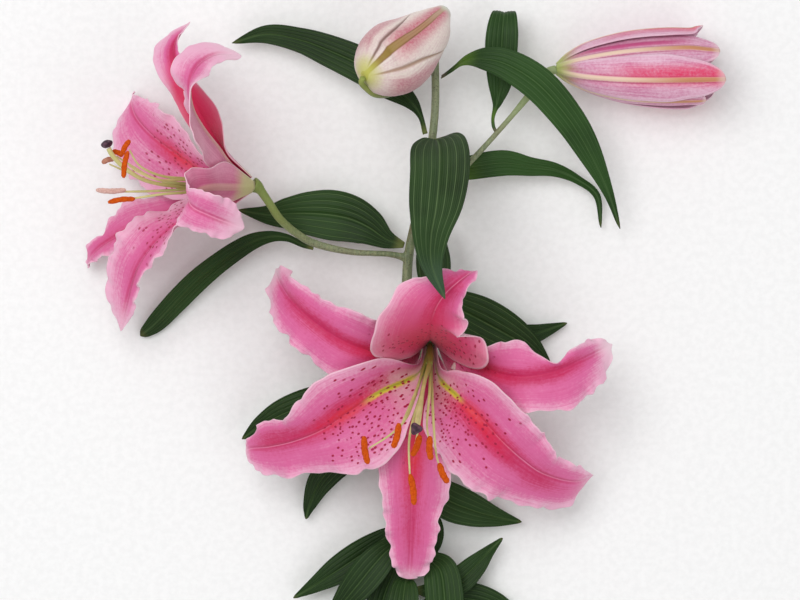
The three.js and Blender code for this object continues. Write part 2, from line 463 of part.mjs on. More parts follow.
for (const [name, rows] of Object.entries(LEAVES)) {
  const lobes = name.includes('heart') ? 0.15 : 0;
  add(name, blade(rows, { cup: [0.3, 0.18, 0.12, 0.05], puff: 0.03, wave: 0.6, waves: 2, steps: 8, lobes }), 'leaf');
}

lily.position.set(-ORIGIN[0], -ORIGIN[1], -ORIGIN[2]);

export default lily;
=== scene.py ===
import math

import bmesh
import bpy
import numpy as np
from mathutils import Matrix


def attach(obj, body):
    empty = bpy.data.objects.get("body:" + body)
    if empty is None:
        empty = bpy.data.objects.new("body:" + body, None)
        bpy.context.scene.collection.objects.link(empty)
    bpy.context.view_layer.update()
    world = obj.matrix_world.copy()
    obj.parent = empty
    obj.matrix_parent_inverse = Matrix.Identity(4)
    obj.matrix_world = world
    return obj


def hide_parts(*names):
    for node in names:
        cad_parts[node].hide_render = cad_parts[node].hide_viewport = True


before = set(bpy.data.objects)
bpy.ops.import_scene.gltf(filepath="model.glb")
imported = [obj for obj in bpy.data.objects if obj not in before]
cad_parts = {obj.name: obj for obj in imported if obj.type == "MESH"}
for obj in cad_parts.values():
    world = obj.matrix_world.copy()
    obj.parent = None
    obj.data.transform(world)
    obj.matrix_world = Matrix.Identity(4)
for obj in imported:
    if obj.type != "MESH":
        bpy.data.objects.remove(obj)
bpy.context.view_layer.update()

# Main stem. A green, brown-speckled stem about 6.6 mm thick, cut square at its lower end, with
# four stalks that branch from it, one to each bloom and bud. Living tissue grown as one piece,
# so the stalks run smoothly into the stem.
MM = 0.001
UP = np.array([0.0, 0.0, 1.0])
EYE_HEIGHT = 2262.0      # the places in the tables are as seen from here, straight above
DRAWN_HEIGHT = 40.0      # the height at which a place is seen where it really is
MIDDLE = np.array([2.0, -72.1, 0.0])     # where the object's own origin is in the tables
MEASURES = 600           # into how many short pieces a curve is cut to measure its length
WELD = 1e-6              # points nearer than this, in metres, become one
STEM_VOXEL = 0.6         # how finely the stem and its stalks are melted into one surface


def placed(points):
    """The tables give each place as it looks from the eye; this moves it to where it really is."""
    points = np.asarray(points, float)
    nearer = (EYE_HEIGHT - points[:, 2:3]) / (EYE_HEIGHT - DRAWN_HEIGHT)
    return np.hstack([points[:, :2] * nearer, points[:, 2:3]])


def spline(points, t):
    """Places on a smooth curve through the points, from 0 at the first to 1 at the last."""
    points = np.asarray(points, float)
    whole = np.vstack([2 * points[0] - points[1], points, 2 * points[-1] - points[-2]])
    at = np.clip(t, 0, 1) * (len(points) - 1)
    first = np.minimum(at.astype(int), len(points) - 2)
    w = (at - first)[:, None]
    before, here, onward, after = (whole[first + k] for k in range(4))
    start, end = (onward - before) / 2, (after - here) / 2
    bend = 3 * (onward - here) - 2 * start - end
    return here + w * (start + w * (bend + w * (2 * (here - onward) + start + end)))


def unit(vectors):
    return vectors / np.linalg.norm(vectors, axis=1, keepdims=True)


def heading(points, t, reach=5e-4):
    return unit(spline(points, np.minimum(t + reach, 1)) - spline(points, np.maximum(t - reach, 0)))


def evenly(points, part):
    """Where a part of a curve's length lies on it, and the whole length."""
    fine = np.linspace(0, 1, MEASURES)
    steps = np.linalg.norm(np.diff(spline(points, fine), axis=0), axis=1)
    length = np.concatenate([[0], np.cumsum(steps)])
    return np.interp(part * length[-1], length, fine), length[-1]


def along(values, v):
    return np.interp(v, np.linspace(0, 1, len(values)), values)


def sheet_grid(bm, columns, steps):
    """A flat grid with a map of its two directions; gives its vertices and their two places, 0 to 1."""
    if not bm.loops.layers.uv:
        bm.loops.layers.uv.new("UVMap")
    verts = bmesh.ops.create_grid(bm, x_segments=columns, y_segments=steps, size=0.5, calc_uvs=True)["verts"]
    flat = np.array([vert.co[:2] for vert in verts]) + 0.5
    return verts, flat[:, 0], flat[:, 1]


def settle(verts, places):
    """Moves the points to their places, and flattens what would reach below the surface."""
    for vert, point in zip(verts, (places - MIDDLE) * MM):
        vert.co = (point[0], point[1], max(point[2], 0.0))


def rod(bm, points, radii, sides=20, steps=60, hint=UP, section=None):
    """A round solid along a curve. section gives the radius its factor around and along the rod."""
    path = placed(points)
    made = bmesh.new()
    verts, u, v = sheet_grid(made, sides, steps)
    t, _ = evenly(path, v)
    tangent = heading(path, t)
    sideways = unit(np.cross(hint, tangent))
    upward = np.cross(tangent, sideways)
    turn = 2 * math.pi * (u - 0.5)
    radius = along(radii, v) * (1 if section is None else section(turn, v))
    ring = upward * np.cos(turn)[:, None] + sideways * np.sin(turn)[:, None]
    settle(verts, spline(path, t) + ring * radius[:, None])
    bmesh.ops.remove_doubles(made, verts=made.verts, dist=WELD)
    bmesh.ops.holes_fill(made, edges=[edge for edge in made.edges if edge.is_boundary], sides=0)
    bmesh.ops.recalc_face_normals(made, faces=made.faces)
    whole = bpy.data.meshes.new("rod")
    made.to_mesh(whole)
    made.free()
    bm.from_mesh(whole)
    bpy.data.meshes.remove(whole)


def piece(name, bm, skins, node):
    mesh = bpy.data.meshes.new(name)
    bm.to_mesh(mesh)
    bm.free()
    mesh.shade_smooth()
    made = bpy.data.objects.new(name, mesh)
    bpy.context.collection.objects.link(made)
    for skin in skins:
        mesh.materials.append(skin)
    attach(made, "root")
    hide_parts(node)
    return made


def modifier(made, kind, **settings):
    added = made.modifiers.new(kind.lower(), kind)
    for key, value in settings.items():
        setattr(added, key, value)
    return added


class Reading:
    """A socket of a material that can be added to, multiplied and so on."""

    def __init__(self, skin, socket):
        self.skin, self.socket = skin, socket

    def maths(self, operation, *values):
        return self.skin.node("ShaderNodeMath", {"operation": operation}, dict(enumerate(values)))

    def __add__(self, other):
        return self.maths("ADD", self, other)

    def __sub__(self, other):
        return self.maths("SUBTRACT", self, other)

    def __rsub__(self, other):
        return self.maths("SUBTRACT", other, self)

    def __mul__(self, other):
        return self.maths("MULTIPLY", self, other)

    def __truediv__(self, other):
        return self.maths("DIVIDE", self, other)

    def __pow__(self, other):
        return self.maths("POWER", self, other)

    def __abs__(self):
        return self.maths("ABSOLUTE", self)

    __radd__, __rmul__ = __add__, __mul__

    def other(self, output):
        """Another output of the same node."""
        return Reading(self.skin, self.socket.node.outputs[output])

    def wrapped(self, low, high):
        return self.maths("WRAP", self, high, low)

    def rise(self, low, high):
        """0 below low, 1 above high, and smooth between them; low may be the larger."""
        return self.skin.node("ShaderNodeMapRange", {"interpolation_type": "SMOOTHSTEP"},
                              {0: self, 1: low, 2: high, 3: 0.0, 4: 1.0})

    def hump(self, middle, width):
        """1 at the middle, falling smoothly to 0 at that distance from it."""
        return abs(self - middle).rise(width, 0.0)


class Skin:
    """A material built node by node; colour is what it has been given so far."""

    def __init__(self, name, **constants):
        self.colour = None
        self.material = bpy.data.materials.new(name)
        self.material.use_nodes = True
        self.tree = self.material.node_tree
        self.shader = self.tree.nodes["Principled BSDF"]
        self.place = self.node("ShaderNodeTexCoord", output=3)
        for key, value in constants.items():
            self.shader.inputs[key.replace("_", " ")].default_value = value

    def join(self, value, socket):
        if isinstance(value, Reading):
            self.tree.links.new(value.socket, socket)
        else:
            socket.default_value = value

    def node(self, kind, settings=None, inputs=None, output=0):
        made = self.tree.nodes.new(kind)
        for key, value in (settings or {}).items():
            setattr(made, key, value)
        for key, value in (inputs or {}).items():
            self.join(value, made.inputs[key])
        return Reading(self, made.outputs[output])

    def blend(self, mask, first, second):
        """Colours the skin: first where the mask is 0 and second where it is 1."""
        self.colour = self.node("ShaderNodeMix", {"data_type": "RGBA"}, {0: mask, 6: first, 7: second}, 2)

    def tint(self, mask, colour):
        """Lays one more colour over the skin, where the mask is 1."""
        self.blend(mask, self.colour, colour)

    def uv(self, name):
        chart = self.node("ShaderNodeUVMap", {"uv_map": name})
        split = self.node("ShaderNodeSeparateXYZ", None, {0: chart})
        return split, split.other(1)

    def vector(self, x, y, z=0.0):
        return self.node("ShaderNodeCombineXYZ", None, {0: x, 1: y, 2: z})

    def away_from(self, spot):
        """How far each place is, in metres, from a place in the tables."""
        spot = tuple((placed([spot])[0] - MIDDLE) * MM)
        return self.node("ShaderNodeVectorMath", {"operation": "DISTANCE"}, {0: self.place, 1: spot}, 1)

    def noise(self, scale, detail=3.0, roughness=0.5, at=None):
        """Soft noise from 0 to 1 over the object's own places, or over others."""
        where = self.place if at is None else at
        return self.node("ShaderNodeTexNoise", None,
                         {"Vector": where, "Scale": scale, "Detail": detail, "Roughness": roughness})

    def finish(self, rough, height=None, depth=0.0003, strength=0.6):
        self.join(self.colour, self.shader.inputs["Base Color"])
        self.join(rough, self.shader.inputs["Roughness"])
        if height is not None:
            bump = self.node("ShaderNodeBump", None,
                             {"Strength": strength, "Distance": depth, "Height": height})
            self.join(bump, self.shader.inputs["Normal"])
        return self.material


def paint(red, green, blue):
    """A colour as it looks on a screen, 0 to 255, as the shader takes it."""
    def linear(value):
        value /= 255
        return value / 12.92 if value <= 0.04045 else ((value + 0.055) / 1.055) ** 2.4
    return (linear(red), linear(green), linear(blue), 1.0)


STEM_PATH = [
    [4, -286, 3.05], [4, -274, 3.05], [4, -262, 3.1], [4, -225, 5.2], [4, -185, 8], [4.2, -145, 9.5],
    [4, -100, 10.5], [4, -60, 11.5], [3.6, -20, 13], [3.8, 17, 15], [8.5, 43, 17.5], [14.5, 70, 20],
    [17.5, 95, 21], [17.6, 121, 22]]
STEM_RADII = [3.3, 3.3, 3.3, 3.2, 3.1, 3, 3, 2.9, 2.9, 2.5, 2.2, 2.1, 2]
STALKS = {
    "to_front_bloom": ([[4, -48, 11.5], [8, -36, 9.5], [13, -24, 8.5], [15, -19.6, 12.2], [15, -20.5, 16.3],
                        [15, -22, 20]], [2.4, 2.3, 2.3, 2.3, 2.5, 4.4]),
    "to_side_bloom": ([[3.8, 21, 15.5], [-6, 23, 17], [-24, 24, 20], [-42, 28, 25], [-52, 33.5, 30],
                       [-60, 40.5, 36], [-64.6, 47.3, 39.4], [-68, 52.4, 41.6], [-70.4, 55.6, 42.8],
                       [-72.2, 57, 43.5], [-73.5, 57.5, 44]],
                      [2.4, 1.7, 1.5, 1.5, 1.5, 1.6, 1.7, 1.8, 1.9, 1.95, 2, 2, 2, 2.05, 2.1, 2.1, 2.1, 2.3,
                       4.2]),
    "to_right_bud": ([[10, 45, 18], [22, 57, 19], [36, 70, 20], [55, 91, 20.5], [69, 108, 21],
                      [73.6, 113.8, 21.5], [78.3, 115.3, 21.5]], [2, 1.8, 1.6, 1.4, 1.4, 2.0, 2.3]),
    "to_top_bud": ([[17.6, 117, 22], [12, 113, 24], [3, 107, 29], [-5.5, 103.2, 35.5], [-12, 102.6, 42.5],
                    [-16.6, 105.4, 50], [-19.3, 108.6, 56.4], [-18.4, 111.3, 58.4]],
                   [2, 2, 2, 1.9, 1.6, 1.4, 1.6]),
}
# How near its end, in metres, a stalk begins to turn a fresher green, and where it has turned.
FRESH_ENDS = {"to_side_bloom": (0.05, 0.012, paint(122, 138, 54)),
              "to_right_bud": (0.055, 0.012, paint(156, 174, 116)),
              "to_top_bud": (0.03, 0.01, paint(150, 164, 70))}


def stem_skin():
    skin = Skin("stem_skin", Roughness=0.5)
    long_grain = skin.node("ShaderNodeMapping", None, {"Vector": skin.place, "Scale": (1.0, 0.12, 1.0)})
    tone = skin.noise(28.0, 2.0)
    streaks = skin.noise(900.0, at=long_grain)
    speckle = skin.noise(1300.0, 2.0, 0.6)
    blush = skin.noise(60.0, 2.0)
    skin.blend(tone.rise(0.3, 0.7), paint(102, 118, 82), paint(136, 146, 112))
    skin.tint(streaks.rise(0.4, 0.7) * 0.55, paint(158, 164, 122))
    skin.tint(speckle.rise(0.52, 0.68) * 0.75, paint(86, 78, 58))
    skin.tint(blush.rise(0.5, 0.75) * 0.5, paint(112, 92, 66))
    for stalk, (far, near, fresh) in FRESH_ENDS.items():
        skin.tint(skin.away_from(STALKS[stalk][0][-1]).rise(far, near) * 0.75, fresh)
    height = streaks * 0.6 + speckle * 0.4
    return skin.finish(0.42 + speckle * 0.2, height, 0.0004, 0.7)


bm = bmesh.new()
rod(bm, STEM_PATH, STEM_RADII, sides=28, steps=260)
for stalk_points, stalk_radii in STALKS.values():
    rod(bm, stalk_points, stalk_radii, sides=24, steps=90)
main_stem = piece("main_stem_grown", bm, [stem_skin()], "main_stem")
modifier(main_stem, "REMESH", mode="VOXEL", voxel_size=STEM_VOXEL * MM, use_smooth_shade=True)
modifier(main_stem, "SMOOTH", factor=0.5, iterations=3)

# Leaves. Thin, leathery, dark green blades with a channel along the middle and about seven
# paler veins that run from the narrow base to the tip. Each grows from the stem by its own base.
LEAVES = {
    "leaf_01_long_upper_left": [
        [12.6, 83, 21, 1.2], [10.2, 92, 22, 1.4], [5, 99.5, 22, 4], [-6, 108, 20, 7.5], [-19, 117, 18, 9],
        [-35, 124.5, 16, 8.2, 8], [-50, 130, 14, 6.4, 6.2], [-67, 132.8, 12, 4.7, 4.6],
        [-84, 128.5, 8, 0.6]],
    "leaf_02_heart_in_front": [
        [17, 80, 23.2, 2], [18.8, 79.5, 30, 11, 8], [19.8, 74, 45, 14.5, 14], [19.5, 62, 65, 15.2, 14.2],
        [18, 46, 83, 13.4, 13.2], [15.5, 31, 96, 9], [16, 17, 104, 5.2], [22.5, 0.5, 106, 0.6]],
    "leaf_03_long_right": [
        [20.9, 111.4, 22, 1.2], [26, 115, 26, 1.5], [33, 119.5, 32, 3], [42, 120.5, 37, 5.8],
        [54, 117.5, 39, 7.8], [69.5, 107.5, 39, 8.7, 8.6], [84, 91, 36, 7.9], [94, 75, 31, 6.4],
        [104, 54, 23, 2.8], [110, 35.7, 15, 0.6]],
    "leaf_04_upright": [
        [47.9, 84.2, 20.3, 0.7], [46.7, 87, 20.8, 0.65], [46.5, 91, 22, 0.7], [47.6, 95.5, 22.8, 1.2],
        [48.6, 99, 23, 2.6], [49.8, 107.5, 23, 5.8], [50.4, 118.5, 23, 7.7], [50.8, 128, 24, 8.3, 8.2],
        [51.3, 136, 24, 7.8], [52, 143, 20.5, 6.2], [52, 143.5, 13, 4], [51.5, 139, 8, 0.6]],
    "leaf_05_right": [
        [17.4, 59.8, 18, 1.4], [25, 62, 14.2, 3.5], [35, 66, 14.5, 6], [51.5, 68.5, 13, 6.5],
        [65, 66.7, 12, 4.8], [77.5, 65, 11, 3.5], [89, 60, 9, 2.2], [98.5, 52, 7, 1.8],
        [100.5, 36.2, 5, 0.6]],
    "leaf_06_middle_left": [
        [2.0, 27.4, 15.2, 1.4], [-7, 30.5, 14, 5], [-16, 36.5, 14, 9.5], [-25, 40.5, 13.5, 12],
        [-35, 42.5, 13, 12.7], [-46, 43.3, 12, 11], [-56, 43.2, 10, 8.2], [-66, 42.6, 8, 4.9],
        [-81, 45, 6, 0.6]],
    "leaf_07_long_left": [
        [-43.4, 26.1, 23, 1.1], [-48.5, 27.6, 21, 1.3], [-56, 31, 19, 1.8], [-64, 31.8, 17, 2.8],
        [-73, 29.5, 15, 4.1], [-82, 24.5, 13, 4.9], [-92.5, 17, 10, 5.4], [-102, 9, 8, 5.8],
        [-112, -1, 6, 5.7], [-122, -11.5, 4, 4.8], [-129.8, -17.9, 3, 2]],
    "leaf_08_behind_heart": [
        [11.8, 39.5, 18.2, 1.3], [15.8, 33.5, 23.5, 5.2], [16.5, 22, 25, 8.5], [17, 11, 24, 8],
        [17.5, 1, 21, 4.5], [18, -6, 18, 0.6]],
    "leaf_09_behind_right": [
        [7, 3, 14, 1.6], [20, -0.5, 14, 7], [36, -8, 14, 11.5], [50, -15.5, 14, 11.5], [63, -23, 13, 8],
        [75.5, -32, 10, 0.6]],
    "leaf_10_low_right": [
        [7.9, -57, 11, 1.5], [22, -46, 8.5, 6], [40, -32, 7.5, 8], [57, -20.5, 6.5, 7], [71, -15.8, 5.5, 4],
        [83.5, -11.5, 4.5, 0.6]],
    "leaf_11_behind_left": [
        [0.7, -50, 11.5, 1.5], [-18, -49, 12, 7], [-38, -51, 13, 9], [-56, -56, 12, 8], [-69, -62.5, 9, 5],
        [-79, -69.5, 7, 0.6]],
    "leaf_12_low_left": [
        [0.6, -70, 11, 1.5], [-15, -73, 10, 6], [-30, -80, 9, 8], [-40, -91, 8, 6.5], [-45, -102, 7, 3.5],
        [-47, -109.5, 6, 0.6]],
    "leaf_13_low_right": [
        [8, -85.8, 11.5, 1.5], [14, -92, 13, 6], [24, -100, 13, 9.5], [36, -105, 12, 8.5],
        [48, -108.5, 10, 5], [60.8, -111, 8, 0.6]],
    "leaf_14_narrow": [
        [7.9, -101, 9.5, 1.3], [13, -106, 7.5, 4], [17, -113, 7, 4.5], [18, -121, 7, 3.2],
        [15, -131, 6, 0.6]],
    "leaf_15_lower_left": [
        [0.2, -114, 10.5, 1.5], [-8, -119, 11, 5], [-19, -127, 12, 7.5], [-31, -135, 12, 7],
        [-42.5, -142.5, 10, 4], [-53.3, -149, 8, 0.6]],
    "leaf_16_lower_left_front": [
        [1.8, -120, 13, 1.5], [-6, -125, 17, 6], [-13.5, -133, 19, 8.5], [-22, -143.5, 18, 8],
        [-30, -153, 15, 5], [-39, -163, 11, 0.6]],
    "leaf_17_lower_left_down": [
        [-0.5, -131, 10, 1.5], [-4, -138, 11.5, 6], [-8, -148, 12, 8], [-10.5, -159, 11, 7],
        [-12, -169, 9, 4], [-12.5, -178, 7, 0.6]],
    "leaf_18_arched_front": [
        [3.6, -139, 13.4, 1.5], [2.5, -142.5, 17.5, 6], [1.5, -150, 21, 8], [0.5, -160, 22, 8],
        [-1, -172, 19, 5], [-2, -184, 15, 0.6]],
    "leaf_19_arched_right": [
        [7.4, -127, 11.5, 1.5], [14, -130, 13, 4.5], [20, -135, 16, 8.5], [22, -146, 19, 9.6],
        [22.5, -159, 19, 9], [22, -171, 16, 5.5], [21, -183, 13, 0.6]],
    "leaf_20_lower_right_up": [
        [7.6, -145, 10, 1.5], [18, -145, 11, 5], [29, -140.5, 12, 6.8], [37.5, -133, 12, 5.8],
        [44.5, -125.5, 11, 3], [51.3, -119, 9, 0.6]],
    "leaf_21_lower_right": [
        [7.6, -154, 9, 1.5], [19, -152, 7, 6], [33, -149.5, 6.5, 8.5], [46, -152.5, 6.5, 7.5],
        [57, -158, 6, 4], [67, -165, 5, 0.6]],
    "leaf_22_foot_left": [
        [0.2, -190, 7.5, 1.5], [-16, -197, 9.5, 6.5], [-36, -207, 11, 9], [-56, -221, 9, 7],
        [-76, -239, 4, 0.6]],
    "leaf_23_foot_right": [
        [7.6, -188, 8, 1.5], [24, -195, 10, 7], [43, -206, 11, 9], [60, -222, 8, 6.5], [73, -242, 4, 0.6]],
    "leaf_24_foot_left_low": [
        [-0.4, -222, 5.6, 1.5], [-12, -232, 8.5, 6], [-25, -245, 10, 8], [-36, -262, 8, 6],
        [-43, -281, 4, 0.6]],
    "leaf_25_foot_right_low": [
        [8.4, -222, 5.6, 1.5], [19, -233, 8, 6], [31, -248, 9, 8], [41, -266, 7, 5.5], [47, -284, 4, 0.6]],
}
BRIGHT_LEAVES = ("leaf_03_long_right", "leaf_04_upright", "leaf_05_right")
LEAF_THICKNESS = 0.8
LEAF_CUP = [0.3, 0.18, 0.12, 0.05]           # how far its edges curl up, as parts of its half width
LEAF_TIP_START = 0.97    # how far along a leaf its rounded tip begins
LEAF_FOLD = 0.9          # how deep the channel along a leaf's middle is
VEIN_RIDGE = 0.16        # how far the leaf swells between its veins
VEINS = 3.6              # veins on each side of the middle


def turned(vectors, axes, degrees):
    angle = np.radians(degrees)[:, None]
    return vectors * np.cos(angle) + np.cross(axes, vectors) * np.sin(angle)


def blade_points(rows, s, v, across=None, cup=(0.1,), puff=0.0, wave=0.0, waves=2.0, turn=(0, 0.5),
                 lobes=0.0, narrower=None, relief=None):
    """Places on a leaf or petal: s is -1 at its right edge and 1 at its left, v runs from base to
    tip. A row is a place on its rib, how far it reaches to the left of the rib, how far to the right
    where that differs, and its turn about the rib in degrees where it has one."""
    rows = np.array([[*row[:4], *(row[4:] or row[3:]), 0][:6] for row in rows], float)
    rib = placed(rows[:, :3])
    centre, tangent = spline(rib, v), heading(rib, v)
    width = spline(rows[:, 3:], v)
    if across is None:
        across = unit(np.cross(UP, rib[-1] - rib[0])[None])[0]
    sideways = unit(across - tangent * (tangent @ across)[:, None])
    sideways = turned(sideways, tangent, width[:, 2])
    inward = np.cross(tangent, sideways)
    left = s > 0
    half = np.where(left, width[:, 0], width[:, 1])
    if narrower is not None:
        half = half * narrower(s, v)
    phase = np.where(left, turn[0], turn[1])
    ruffle = wave * np.sin(math.pi * v) * s * s * np.sin(2 * math.pi * (waves * v + phase))
    arch = half * (along(cup, v) * s * s + puff * np.sin(math.pi * np.abs(s)))
    lift = arch + ruffle
    if relief is not None:
        lift = lift + relief(s, v, half * s)
    return (centre + sideways * (s * half)[:, None] + inward * lift[:, None]
            - tangent * (lobes * half * s * s * (1 - v) ** 4)[:, None]), half


TIP_START = 0.955        # how far along a blade its rounded tip begins


def rounded_tip(v, start=TIP_START):
    """Brings a blade's blunt end to a rounded point."""
    past = np.clip((v - start) / (1 - start), 0, 1)
    return np.sqrt(1 - past ** 2 * 0.98)


def blade(name, rows, skins, slot, columns, steps, thickness, thin_edge, crowd=1.0, node=None, flowing=False,
          **shape):
    """A thin sheet with three maps: its two directions, millimetres, and the run of its veins.
    thin_edge is how much of its thickness is left at the rim; crowd sets the steps closer at the
    base; flowing says that the veins keep clear of the notches in the outline."""
    bm = bmesh.new()
    plain, span, flow = (bm.loops.layers.uv.new(key) for key in ("UVMap", "span", "flow"))
    weights = bm.verts.layers.deform.verify()
    verts, u, v = sheet_grid(bm, columns, steps)
    v = 1 - (1 - v) ** crowd
    s = 1 - 2 * u
    places, half = blade_points(rows, s, v, **shape)
    settle(verts, places)
    _, length = evenly(placed([row[:3] for row in rows]), np.array([1.0]))
    spans = np.column_stack([s * half, v * length])
    runs = s * (shape["narrower"](s, v) / rounded_tip(v)) if flowing else s
    bm.verts.index_update()
    for face in bm.faces:
        for loop in face.loops:
            i = loop.vert.index
            loop[plain].uv = (u[i], v[i])
            loop[span].uv = spans[i]
            loop[flow].uv = (runs[i], v[i])
    for i, vert in enumerate(verts):
        edge = max(abs(s[i]), 2 * v[i] - 1)
        vert[weights][0] = 1 - (1 - thin_edge) * edge ** 6
    bm.normal_update()
    made = piece(name, bm, skins, node or name)
    made.vertex_groups.new(name="flesh")
    modifier(made, "SOLIDIFY", thickness=thickness * MM, offset=0.0, material_offset=1, vertex_group="flesh",
             thickness_vertex_group=0.0, use_rim=True)


def leaf_relief(s, v, reach):
    fold = -LEAF_FOLD * np.exp(-np.abs(reach) / 1.1) * np.sin(math.pi * v) ** 0.5
    ridge = VEIN_RIDGE * np.cos(2 * math.pi * (np.abs(s) * VEINS)) * np.sin(math.pi * v) ** 0.5
    return fold - ridge * (np.abs(s) > 0.1)


def leaf_skin(name, dark, light, vein, sheen=0.0, foot=paint(124, 132, 74), fresh=0.0):
    skin = Skin(name, Specular_IOR_Level=0.22)
    u, v = skin.uv("UVMap")
    across, onward = skin.uv("span")
    s = 1 - 2 * u
    side = abs(s)
    tone = skin.noise(22.0)
    grain = skin.noise(1.0, 4.0, 0.6, skin.vector(across * 6.0, onward * 0.5))
    wander = skin.noise(1.0, 1.0, at=skin.vector(side * 3.0, v * 2.0)) - 0.5
    beat = abs((side * VEINS + wander * 0.25).wrapped(0.0, 1.0) - 0.5)
    veins = beat.rise(0.38, 0.5) * side.rise(0.97, 0.85)
    fine = abs((side * VEINS * 4.0 + wander).wrapped(0.0, 1.0) - 0.5).rise(0.2, 0.5)
    middle = abs(across).rise(0.9, 0.15)
    skin.blend(tone.rise(0.3, 0.7), dark, light)
    skin.tint(grain.rise(0.35, 0.75) * 0.45, light)
    skin.tint(fine * 0.12, vein)
    skin.tint(veins * 0.5, vein)
    skin.tint(middle * 0.35, vein)
    skin.tint(v.hump(0.2, 0.12) * fresh, paint(98, 134, 44))
    skin.tint(v.rise(0.09, 0.01) * 0.7, foot)
    skin.tint(v.rise(0.955, 1.0) * 0.5, paint(96, 92, 50))
    skin.tint(sheen * v.rise(0.75, 1.0), paint(70, 98, 88))
    height = veins * 0.7 + fine * 0.25 + grain * 0.25
    return skin.finish(0.42 + grain * 0.16, height, 0.0003, 0.6)


leaf_under = leaf_skin("leaf_under_side", paint(66, 96, 62), paint(92, 120, 82), paint(140, 160, 118))
leaf_upper = leaf_skin("leaf_upper_side", paint(15, 38, 6), paint(34, 64, 19), paint(98, 126, 76))
bright_upper = leaf_skin("bright_leaf_upper_side", paint(19, 45, 9), paint(42, 76, 27), paint(100, 130, 82),
                         foot=paint(128, 114, 100), fresh=0.6)
heart_upper = leaf_skin("heart_leaf_upper_side", paint(17, 40, 9), paint(41, 70, 28), paint(112, 138, 90),
                        sheen=0.3)
for leaf_name, leaf_rows in LEAVES.items():
    heart = leaf_name == "leaf_02_heart_in_front"
    upper = heart_upper if heart else bright_upper if leaf_name in BRIGHT_LEAVES else leaf_upper
    blade(leaf_name + "_blade", leaf_rows, [upper, leaf_under], "leaf", node=leaf_name, columns=32, steps=72,
          thickness=LEAF_THICKNESS, thin_edge=0.5, cup=LEAF_CUP, puff=0.03, wave=0.6, waves=2,
          lobes=0.15 if heart else 0, relief=leaf_relief,
          narrower=lambda s, v: rounded_tip(v, LEAF_TIP_START))

# Front bloom. Three wide inner petals over three narrower outer sepals: soft, waxy tissue under a
# millimetre thick, channelled along the middle and crimped at the edges, spotted in the throat.
FRONT_CENTRE = np.array([15.0, -22.0, 20.0])
FRONT_AXIS = np.array([0.0, -0.375, 0.927])
FRONT_FIRST = np.array([1.0, 0.0, 0.0])
PETAL_VALLEY = {"channel": (0.45, 0.8), "ridge": 0.2}     # depth and half width; the ridges beside it
SEPAL_VALLEY = {"channel": (1.0, 2.6), "ridge": 0.0}
INNER = {"ring": 2.4, "foot": 1.9, "cup": [0.42, 0.44, 0.2, 0.1, 0.02, -0.1], "valley": PETAL_VALLEY}
TOP = {**INNER, "cup": [1.1, 0.95, 0.5, 0.36, 0.18, 0.1, 0.03, -0.04, -0.1]}
OUTER = {"ring": 3.9, "foot": 3, "cup": [0.38, 0.4, 0.2, 0.1, 0, -0.1], "valley": SEPAL_VALLEY}
FOOT_HEIGHT = 0.6
PETAL_THICKNESS = 0.8
CRIMP_START = 0.22       # the part of a petal's length below which its edge is plain


def crimped(amount, count, seed, channel, ridge, folds):
    """The uneven ruffle of a petal's edge, in millimetres; each side has its own beat. folds are large
    single waves: (side, v, width along it, lift). A channel runs along the middle, between ridges."""
    def relief(s, v, reach):
        beat = np.where(s > 0, seed, seed * 1.7 + 2.1)
        swell = np.clip((v - CRIMP_START) / 0.25, 0, 1) * np.clip((1 - v) / 0.06, 0, 1)
        phase = 2 * math.pi * count * v
        wavy = (np.sin(phase + beat) + 0.6 * np.sin(1.63 * phase + 2.3 * beat)
                + 0.35 * np.sin(2.9 * phase + 1.1 * beat))
        edge = amount * swell * s ** 4 * wavy
        for side, middle, width, lift in folds:
            edge = edge + lift * np.exp(-((v - middle) / width) ** 2) * s * s * (np.sign(s) == side)
        body = np.clip(v / 0.2, 0, 1) * np.clip((1 - v) / 0.12, 0, 1)
        depth, width = channel
        valley = ridge * np.exp(-((np.abs(reach) - 1.9) / 0.8) ** 2) - depth * np.exp(-(reach / width) ** 2)
        return edge + valley * body
    return relief


def outline(count, seed, depth, notches):
    """The scalloped outline of a petal; notches are (side, v, width along it, depth)."""
    def factor(s, v):
        beat = np.where(s > 0, seed * 1.3, seed * 2.2 + 1.0)
        swell = np.clip((v - 0.3) / 0.3, 0, 1) * np.abs(s) ** 3
        phase = math.pi * count * v
        wavy = (np.sin(2.8 * phase + beat) + 0.7 * np.sin(5.2 * phase + 3 * beat)
                - 0.8 * np.abs(np.sin(2.1 * phase + 2 * beat)))
        shape = 1 + depth * swell * wavy
        for side, middle, width, bite in notches:
            near = np.exp(-((v - middle) / width) ** 2)
            shape = shape * (1 - bite * near * (np.sign(s) == side))
        return shape * rounded_tip(v)
    return factor


PALE, PINK, DEEP = paint(240, 178, 206), paint(221, 104, 158), paint(198, 36, 92)


def flesh(name, sheen=0.15, broad=48.0, fine=620.0, streaks=(7.0, 1.2), threads=(34.0, 3.0)):
    """A petal's tissue: its skin, its places, and its clouds, grain, streaks and veins, all about 0."""
    skin = Skin(name, Specular_IOR_Level=0.3, Sheen_Weight=sheen, Sheen_Roughness=0.4)
    u, v = skin.uv("UVMap")
    across, onward = skin.uv("span")
    run, _ = skin.uv("flow")
    cloud = skin.noise(broad) - 0.5
    grain = skin.noise(fine, 3.0, 0.65) - 0.5
    streak = skin.noise(1.0, 3.0, 0.6, skin.vector(run * streaks[0] + cloud, v * streaks[1])) - 0.5
    veins = skin.noise(1.0, 2.0, at=skin.vector(run * threads[0] + cloud * threads[1], v * 5.0)) - 0.5
    return skin, abs(1 - 2 * u), v, across, onward, cloud, grain, streak, veins


